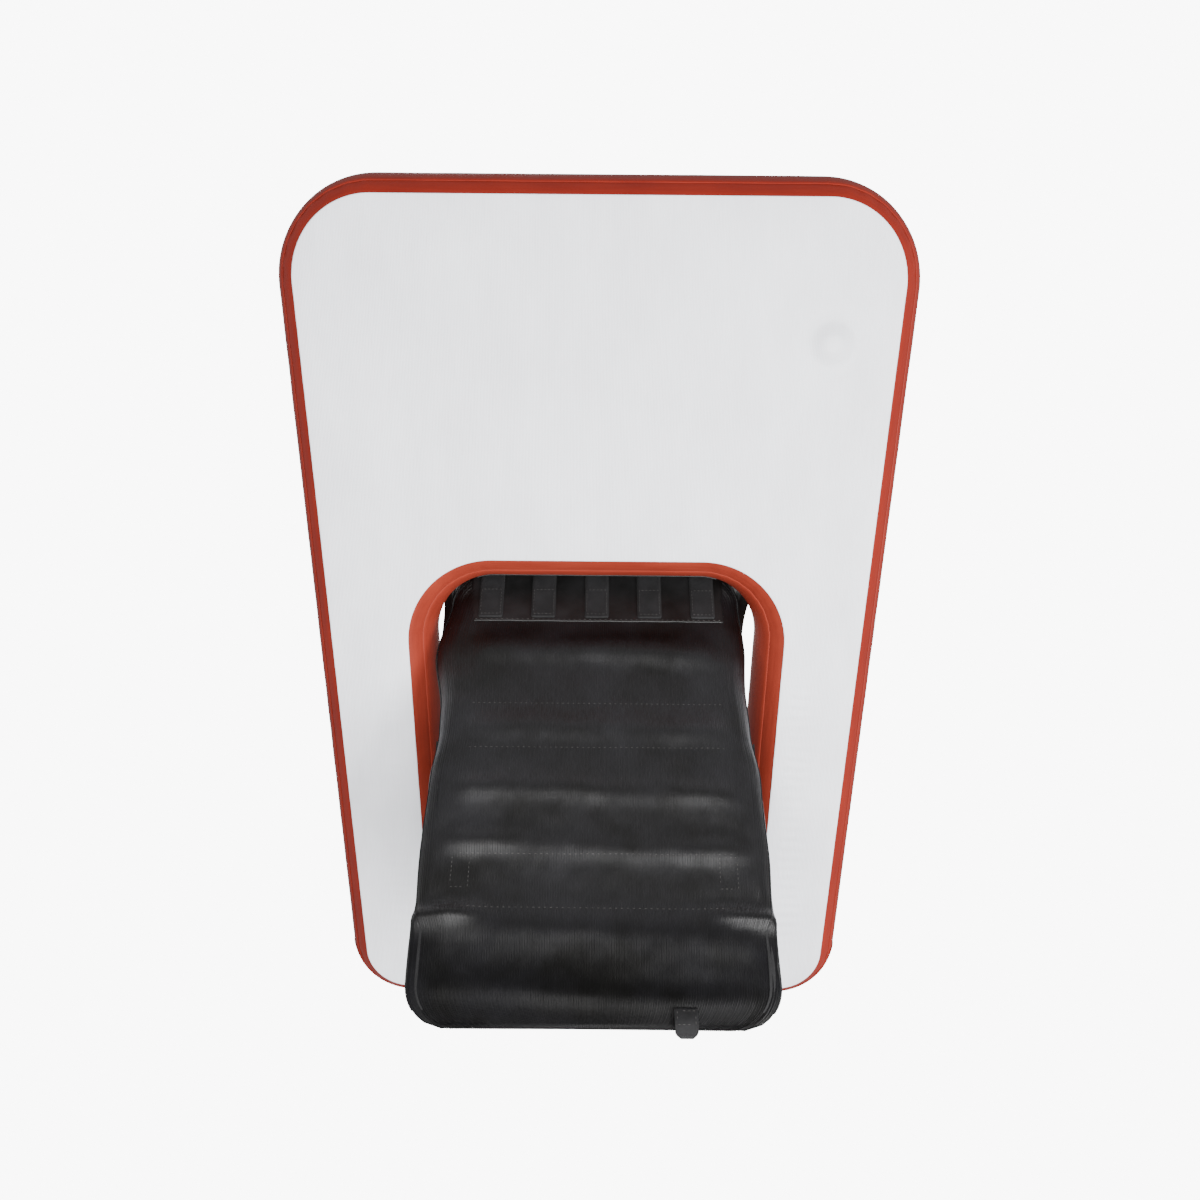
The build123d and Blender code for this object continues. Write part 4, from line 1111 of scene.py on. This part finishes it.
# ---- Pull loop ----
# A short strap of webbing is doubled over and sewn to the ramp's foot, as a grip for lifting it.
loop_low, loop_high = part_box("pull_loop")
loop_middle = (loop_low[0] + loop_high[0]) / 2
loop_half = 0.0155
loop_drop = 0.0135
loop_cloth = 0.0019
loop_ply_gap = 0.0009
loop_root = ramp_end - 0.026
loop_from = ramp_end - 0.004
fold_start = loop_from + loop_drop * 11 / 12
fold_line = [(loop_root, -1)]
for k in range(11):
    fold_line.append((loop_from + loop_drop * k / 12, -1))
for k in range(1, 8):
    turned = math.pi * k / 8
    fold_reach = fold_start + (loop_ply_gap + loop_cloth / 2) * math.sin(turned)
    fold_line.append((fold_reach, -math.cos(turned)))
for k in range(11, -1, -1):
    fold_line.append((loop_from + loop_drop * k / 12, 1))
fold_line.append((loop_root, 1))
sketch = bmesh.new()
loop_columns = 24
grid = []
tip = loop_from + loop_drop
for reach, layer in fold_line:
    past = max(reach - (ramp_end + 0.001), 0.0) / (tip - ramp_end - 0.001 + loop_cloth)
    half = loop_half * math.sqrt(max(1 - min(past, 1.0) ** 2 * 0.97, 0.05))
    rise = mesh_outside - 0.0032 + layer * (loop_ply_gap / 2 + loop_cloth / 2)
    grid.append([
        sketch.verts.new(ramp_point(loop_middle + half * (2 * i / loop_columns - 1), reach, rise))
        for i in range(loop_columns + 1)
    ])
weave(sketch, grid, lambda i, k: (i * 0.002, k * 0.0015))
pull_strap = finish_piece(sketch, "pull_strap", smooth_angle=60)
thicken(pull_strap, loop_cloth * 0.9, offset=0.0)
fit_piece(pull_strap, webbing_black, "ramp", "black_webbing", "pull_loop")
seam_piece = bmesh.new()
strap_outside = mesh_outside - 0.0032 - loop_ply_gap - loop_cloth - 0.0009
box_line = [
    (ramp_point(loop_middle + x, reach, strap_outside), water_side)
    for x, reach in ((-0.012, loop_root + 0.003), (0.012, loop_root + 0.003), (0.012, ramp_end - 0.006),
                     (-0.012, ramp_end - 0.006), (-0.012, loop_root + 0.003))
]
stitch_line(seam_piece, box_line)
pull_stitches = finish_piece(seam_piece, "pull_strap_stitches", smooth_angle=60)
fit_piece(pull_stitches, thread_grey, "ramp", "black_webbing")

# ---- Limit straps ----
# Two webbing straps from the legs' walls hold the ramp's sides at its working slope.
# Each is sewn to a PVC patch on the wall and to the ramp's edge.
strap_width = 0.025
strap_cloth = 0.002
strap_steps = 44
for side, name in ((-1, "left"), (1, "right")):
    low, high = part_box("limit_strap_" + name)
    wall_x, ramp_x = (high[0], low[0]) if side > 0 else (low[0], high[0])
    start = Vector((wall_x - side * strap_cloth / 2, low[1] + 0.0095, high[2] - 0.0085))
    end = Vector((ramp_x + side * strap_cloth / 2, high[1] - 0.0095, low[2] + 0.0085))
    run = end - start
    outward = Vector((side, 0, 0))
    across = run.cross(outward).normalized()
    proud = across.cross(run).normalized()
    sketch = bmesh.new()
    rings = []
    for k in range(strap_steps + 1):
        share = k / strap_steps
        middle = start + run * share + proud * 0.0016 * math.sin(math.pi * share)
        corners = ((-1, -0.6), (-0.97, -1), (0.97, -1), (1, -0.6), (1, 0.6), (0.97, 1), (-0.97, 1), (-1, 0.6))
        rings.append([
            sketch.verts.new(middle + across * a * strap_width / 2 + proud * b * strap_cloth / 2)
            for a, b in corners
        ])
    weave(sketch, rings, lambda i, k: (i * 0.003, k * 0.006), closed=True)
    strap = finish_piece(sketch, "limit_strap_web_" + name)
    wear_material(strap, webbing_black)
    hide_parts("limit_strap_" + name)
    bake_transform(strap)
fit_softened("strap_patches", "strap_wall_patches", 0.0005, pvc_black, "root", "black_pvc")

# ---- White deck face ----
# The chamber's upper sheet is the same white fabric, cut out round the valve.
deck_rows = steps(leg_edge_y, boat_line_y, 0.014)
deck_sketch = face_sheet(edge_insets, steps(-boat_end_half, boat_end_half, 0.0125), deck_rows)
barrel_hole = 0.0215


def deck_height(x, y, inside):
    hollow = 0.0004 * (1 + soft_noise(x, y, 2.0, size=0.16)) * smooth(inside / 0.03)
    return chamber_high - edge_height(inside) - hollow


shape_face(deck_sketch, deck_height)
near_valve = [
    f for f in deck_sketch.faces
    if math.hypot(f.calc_center_median().x - valve_x, f.calc_center_median().y - valve_y) < barrel_hole
]
bmesh.ops.delete(deck_sketch, geom=near_valve, context="FACES")
white_deck = finish_piece(deck_sketch, "white_deck")
if sum(f.normal.z * f.area for f in white_deck.data.polygons) < 0:
    white_deck.data.flip_normals()
thicken(white_deck, white_thickness)
fit_piece(white_deck, white_fabric, "root", "white_pvc", "top_skin")

# ---- Deck pad ----
# A sheet of dark grey EVA foam is glued to the deck. Diamond grooves are routed in it, so that water
# runs off and paws and feet hold.
groove_pitch = 0.046
groove_half = 0.0025
groove_depth = 0.0021
groove_lean = math.radians(31)
pad_low, pad_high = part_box("deck_pad")
pad_sketch = bmesh.new()
pad_sketch.from_mesh(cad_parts["deck_pad"].data)
bmesh.ops.remove_doubles(pad_sketch, verts=pad_sketch.verts, dist=1e-6)
bmesh.ops.dissolve_limit(
    pad_sketch, angle_limit=math.radians(1.5), verts=pad_sketch.verts, edges=pad_sketch.edges
)
rim = [
    e for e in pad_sketch.edges
    if e.is_manifold and e.calc_face_angle() > 1.2 and min(v.co.z for v in e.verts) > pad_high[2] - 1e-4
]
bmesh.ops.bevel(pad_sketch, geom=rim, offset=0.0016, segments=3, affect="EDGES", clamp_overlap=True)
groove_normals = [Vector((math.cos(groove_lean), s * math.sin(groove_lean), 0)) for s in (-1, 1)]
reach_out = math.hypot(pad_high[0], pad_low[1])
groove_count = int(reach_out / groove_pitch) + 1
for normal in groove_normals:
    for i in range(-groove_count, groove_count + 1):
        for step in (-groove_half, 0.0, groove_half):
            top_faces = [f for f in pad_sketch.faces if f.normal.z > 0.2]
            edges = {e for f in top_faces for e in f.edges}
            bmesh.ops.bisect_plane(
                pad_sketch, geom=top_faces + list(edges), plane_no=normal,
                plane_co=normal * (i * groove_pitch + step), dist=1e-6,
            )
for vertex in pad_sketch.verts:
    if vertex.co.z < pad_high[2] - 0.0018:
        continue
    from_groove = min(
        abs((vertex.co.dot(n) + groove_pitch / 2) % groove_pitch - groove_pitch / 2) for n in groove_normals
    )
    near_top = smooth((vertex.co.z - pad_high[2]) / 0.0016 + 1)
    vertex.co.z -= groove_depth * max(1 - from_groove / groove_half, 0.0) * near_top
grooved_pad = finish_piece(pad_sketch, "grooved_deck_pad", smooth_angle=20)


def eva_foam():
    """Closed-cell EVA: charcoal grey, matt, with a brushed grain and small pits."""
    material = new_material("eva_foam", (0.055, 0.058, 0.062), 0.82, Specular_IOR_Level=0.25)
    plain = object_place(material)
    broad = mottle(material, plain, 0.10, detail=4.0)
    cells = mottle(material, plain, 0.0012, detail=2.0)
    brushed = mottle(material, object_place(material, scale=(1, 0.12, 1)), 0.0022, detail=3.0)
    shade = ramp_between(material, broad, 0.35, 0.70, (0.045, 0.048, 0.052), (0.075, 0.079, 0.084))
    height = weigh(material, (cells, 0.6), (brushed, 0.5))
    wire_shader(material, shade, spread(material, broad, 0.74, 0.92), height, relief=0.0005, strength=0.6)
    return material


fit_piece(grooved_pad, eva_foam(), "root", "deck_foam", "deck_pad")

# ---- Ring patches, webbing and D rings ----
# Each of the four stainless D rings turns in a fold of webbing, which is sewn to a round PVC patch
# glued to the deck.
steel = worn_metal("polished_stainless", (0.66, 0.66, 0.65), 0.16, (1, 1, 0.05))
fit_softened("ring_patches", "ring_deck_patches", 0.0006, pvc_black, "root", "black_pvc")
fit_softened("ring_loops", "ring_webbing", 0.0005, webbing_black, "root", "black_webbing")
rings = ("ring_boat_left", "ring_boat_right", "ring_leg_left", "ring_leg_right")
for name in rings:
    ring = soften(name, "d_" + name, 0.0001, segments=1, sharp_angle=70)
    fit_piece(ring, steel, name, "stainless", name)
seam_piece = bmesh.new()
webbing_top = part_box("ring_patches")[1][2] + 0.0027
deck_up = Vector((0, 0, 1))
for name in rings:
    low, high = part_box(name)
    bow = 1 if low[1] > 0 else -1
    bar_y = low[1] + 0.003 if bow > 0 else high[1] - 0.003
    middle = (low[0] + high[0]) / 2
    tail = []
    for x, y in ((-1, -0.009), (1, -0.009), (1, -0.030), (-1, -0.030), (-1, -0.009), (1, -0.030)):
        tail.append((Vector((middle + x * 0.017, bar_y + bow * y, webbing_top)), deck_up))
    stitch_line(seam_piece, tail)
ring_stitches = finish_piece(seam_piece, "ring_webbing_stitches", smooth_angle=60)
fit_piece(ring_stitches, thread_grey, "root", "black_webbing")

# ---- Carry handle ----
# A webbing handle arches between two round patches near the boat end, with a boxed seam at each foot.
fit_softened("handle_patches", "handle_deck_patches", 0.0006, pvc_black, "root", "black_pvc")
fit_softened("handle", "webbing_handle", 0.0009, webbing_black, "root", "black_webbing")
seam_piece = bmesh.new()
handle_low, handle_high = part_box("handle")
foot_top = handle_low[2] + 0.0034
handle_y = (handle_low[1] + handle_high[1]) / 2
for side in (-1, 1):
    foot = side * (handle_high[0] - 0.025)
    box = []
    for x, y in ((-1, -1), (1, -1), (1, 1), (-1, 1), (-1, -1), (1, 1)):
        box.append((Vector((foot + x * 0.020, handle_y + y * 0.014, foot_top)), deck_up))
    stitch_line(seam_piece, box)
handle_stitches = finish_piece(seam_piece, "handle_stitches", smooth_angle=60)
fit_piece(handle_stitches, thread_grey, "root", "black_webbing")

# ---- Inflation valve ----
# A black plastic push valve is clamped through the deck by a nut inside. A spring lifts its poppet
# shut, and a tethered cap with a rubber seal covers its mouth.
valve_black = moulded_plastic("valve_black_plastic", (0.022, 0.022, 0.024), 0.36)
valve_grey = moulded_plastic("valve_grey_plastic", (0.30, 0.31, 0.32), 0.38)
valve_rubber = moulded_plastic("valve_rubber", (0.015, 0.015, 0.015), 0.66, grain=0.0004)
spring_steel = worn_metal("spring_steel", (0.5, 0.5, 0.5), 0.22, (1, 1, 1))
for node, name, width, material, body in (
    ("valve_body", "valve_housing", 0.0006, valve_black, "root"),
    ("valve_cap", "valve_screw_cap", 0.0007, valve_black, "cap"),
    ("valve_tether", "valve_cap_tether", 0.0004, valve_black, "tether"),
    ("valve_stem", "valve_push_button", 0.0004, valve_grey, "stem"),
    ("valve_spring_seat", "valve_spring_cup", 0.0002, valve_grey, "spring_seat"),
    ("valve_nut", "valve_back_nut", 0.0006, valve_black, "root"),
):
    fit_softened(node, name, width, material, body, "valve_plastic")
for node in ("valve_gasket", "valve_cap_seal", "valve_disc"):
    wear_material(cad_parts[node], valve_rubber)
coil = soften("valve_spring", "valve_coil_spring", 0.00002, segments=1, sharp_angle=70)
fit_piece(coil, spring_steel, "root", "stainless", "valve_spring")
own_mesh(coil)

# ---- Stitched core ----
# Thousands of threads tie the two faces together inside the chamber and keep them flat. They stay
# out of sight, so the core is the frame's own block in pale thread.
core_thread = moulded_plastic("core_thread", (0.70, 0.70, 0.66), 0.8, grain=0.003, relief=0.0006)
wear_material(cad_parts["drop_stitch_core"], core_thread)

# ---- Ramp cloth widths ----
# Adds up the ramp cloth's two half widths at each row, and keeps nothing.


for k in range(ramp_rows + 1):
    sum(ramp_shape(side, mesh_start + k * row_pitch)[2] for side in (-1, 1))
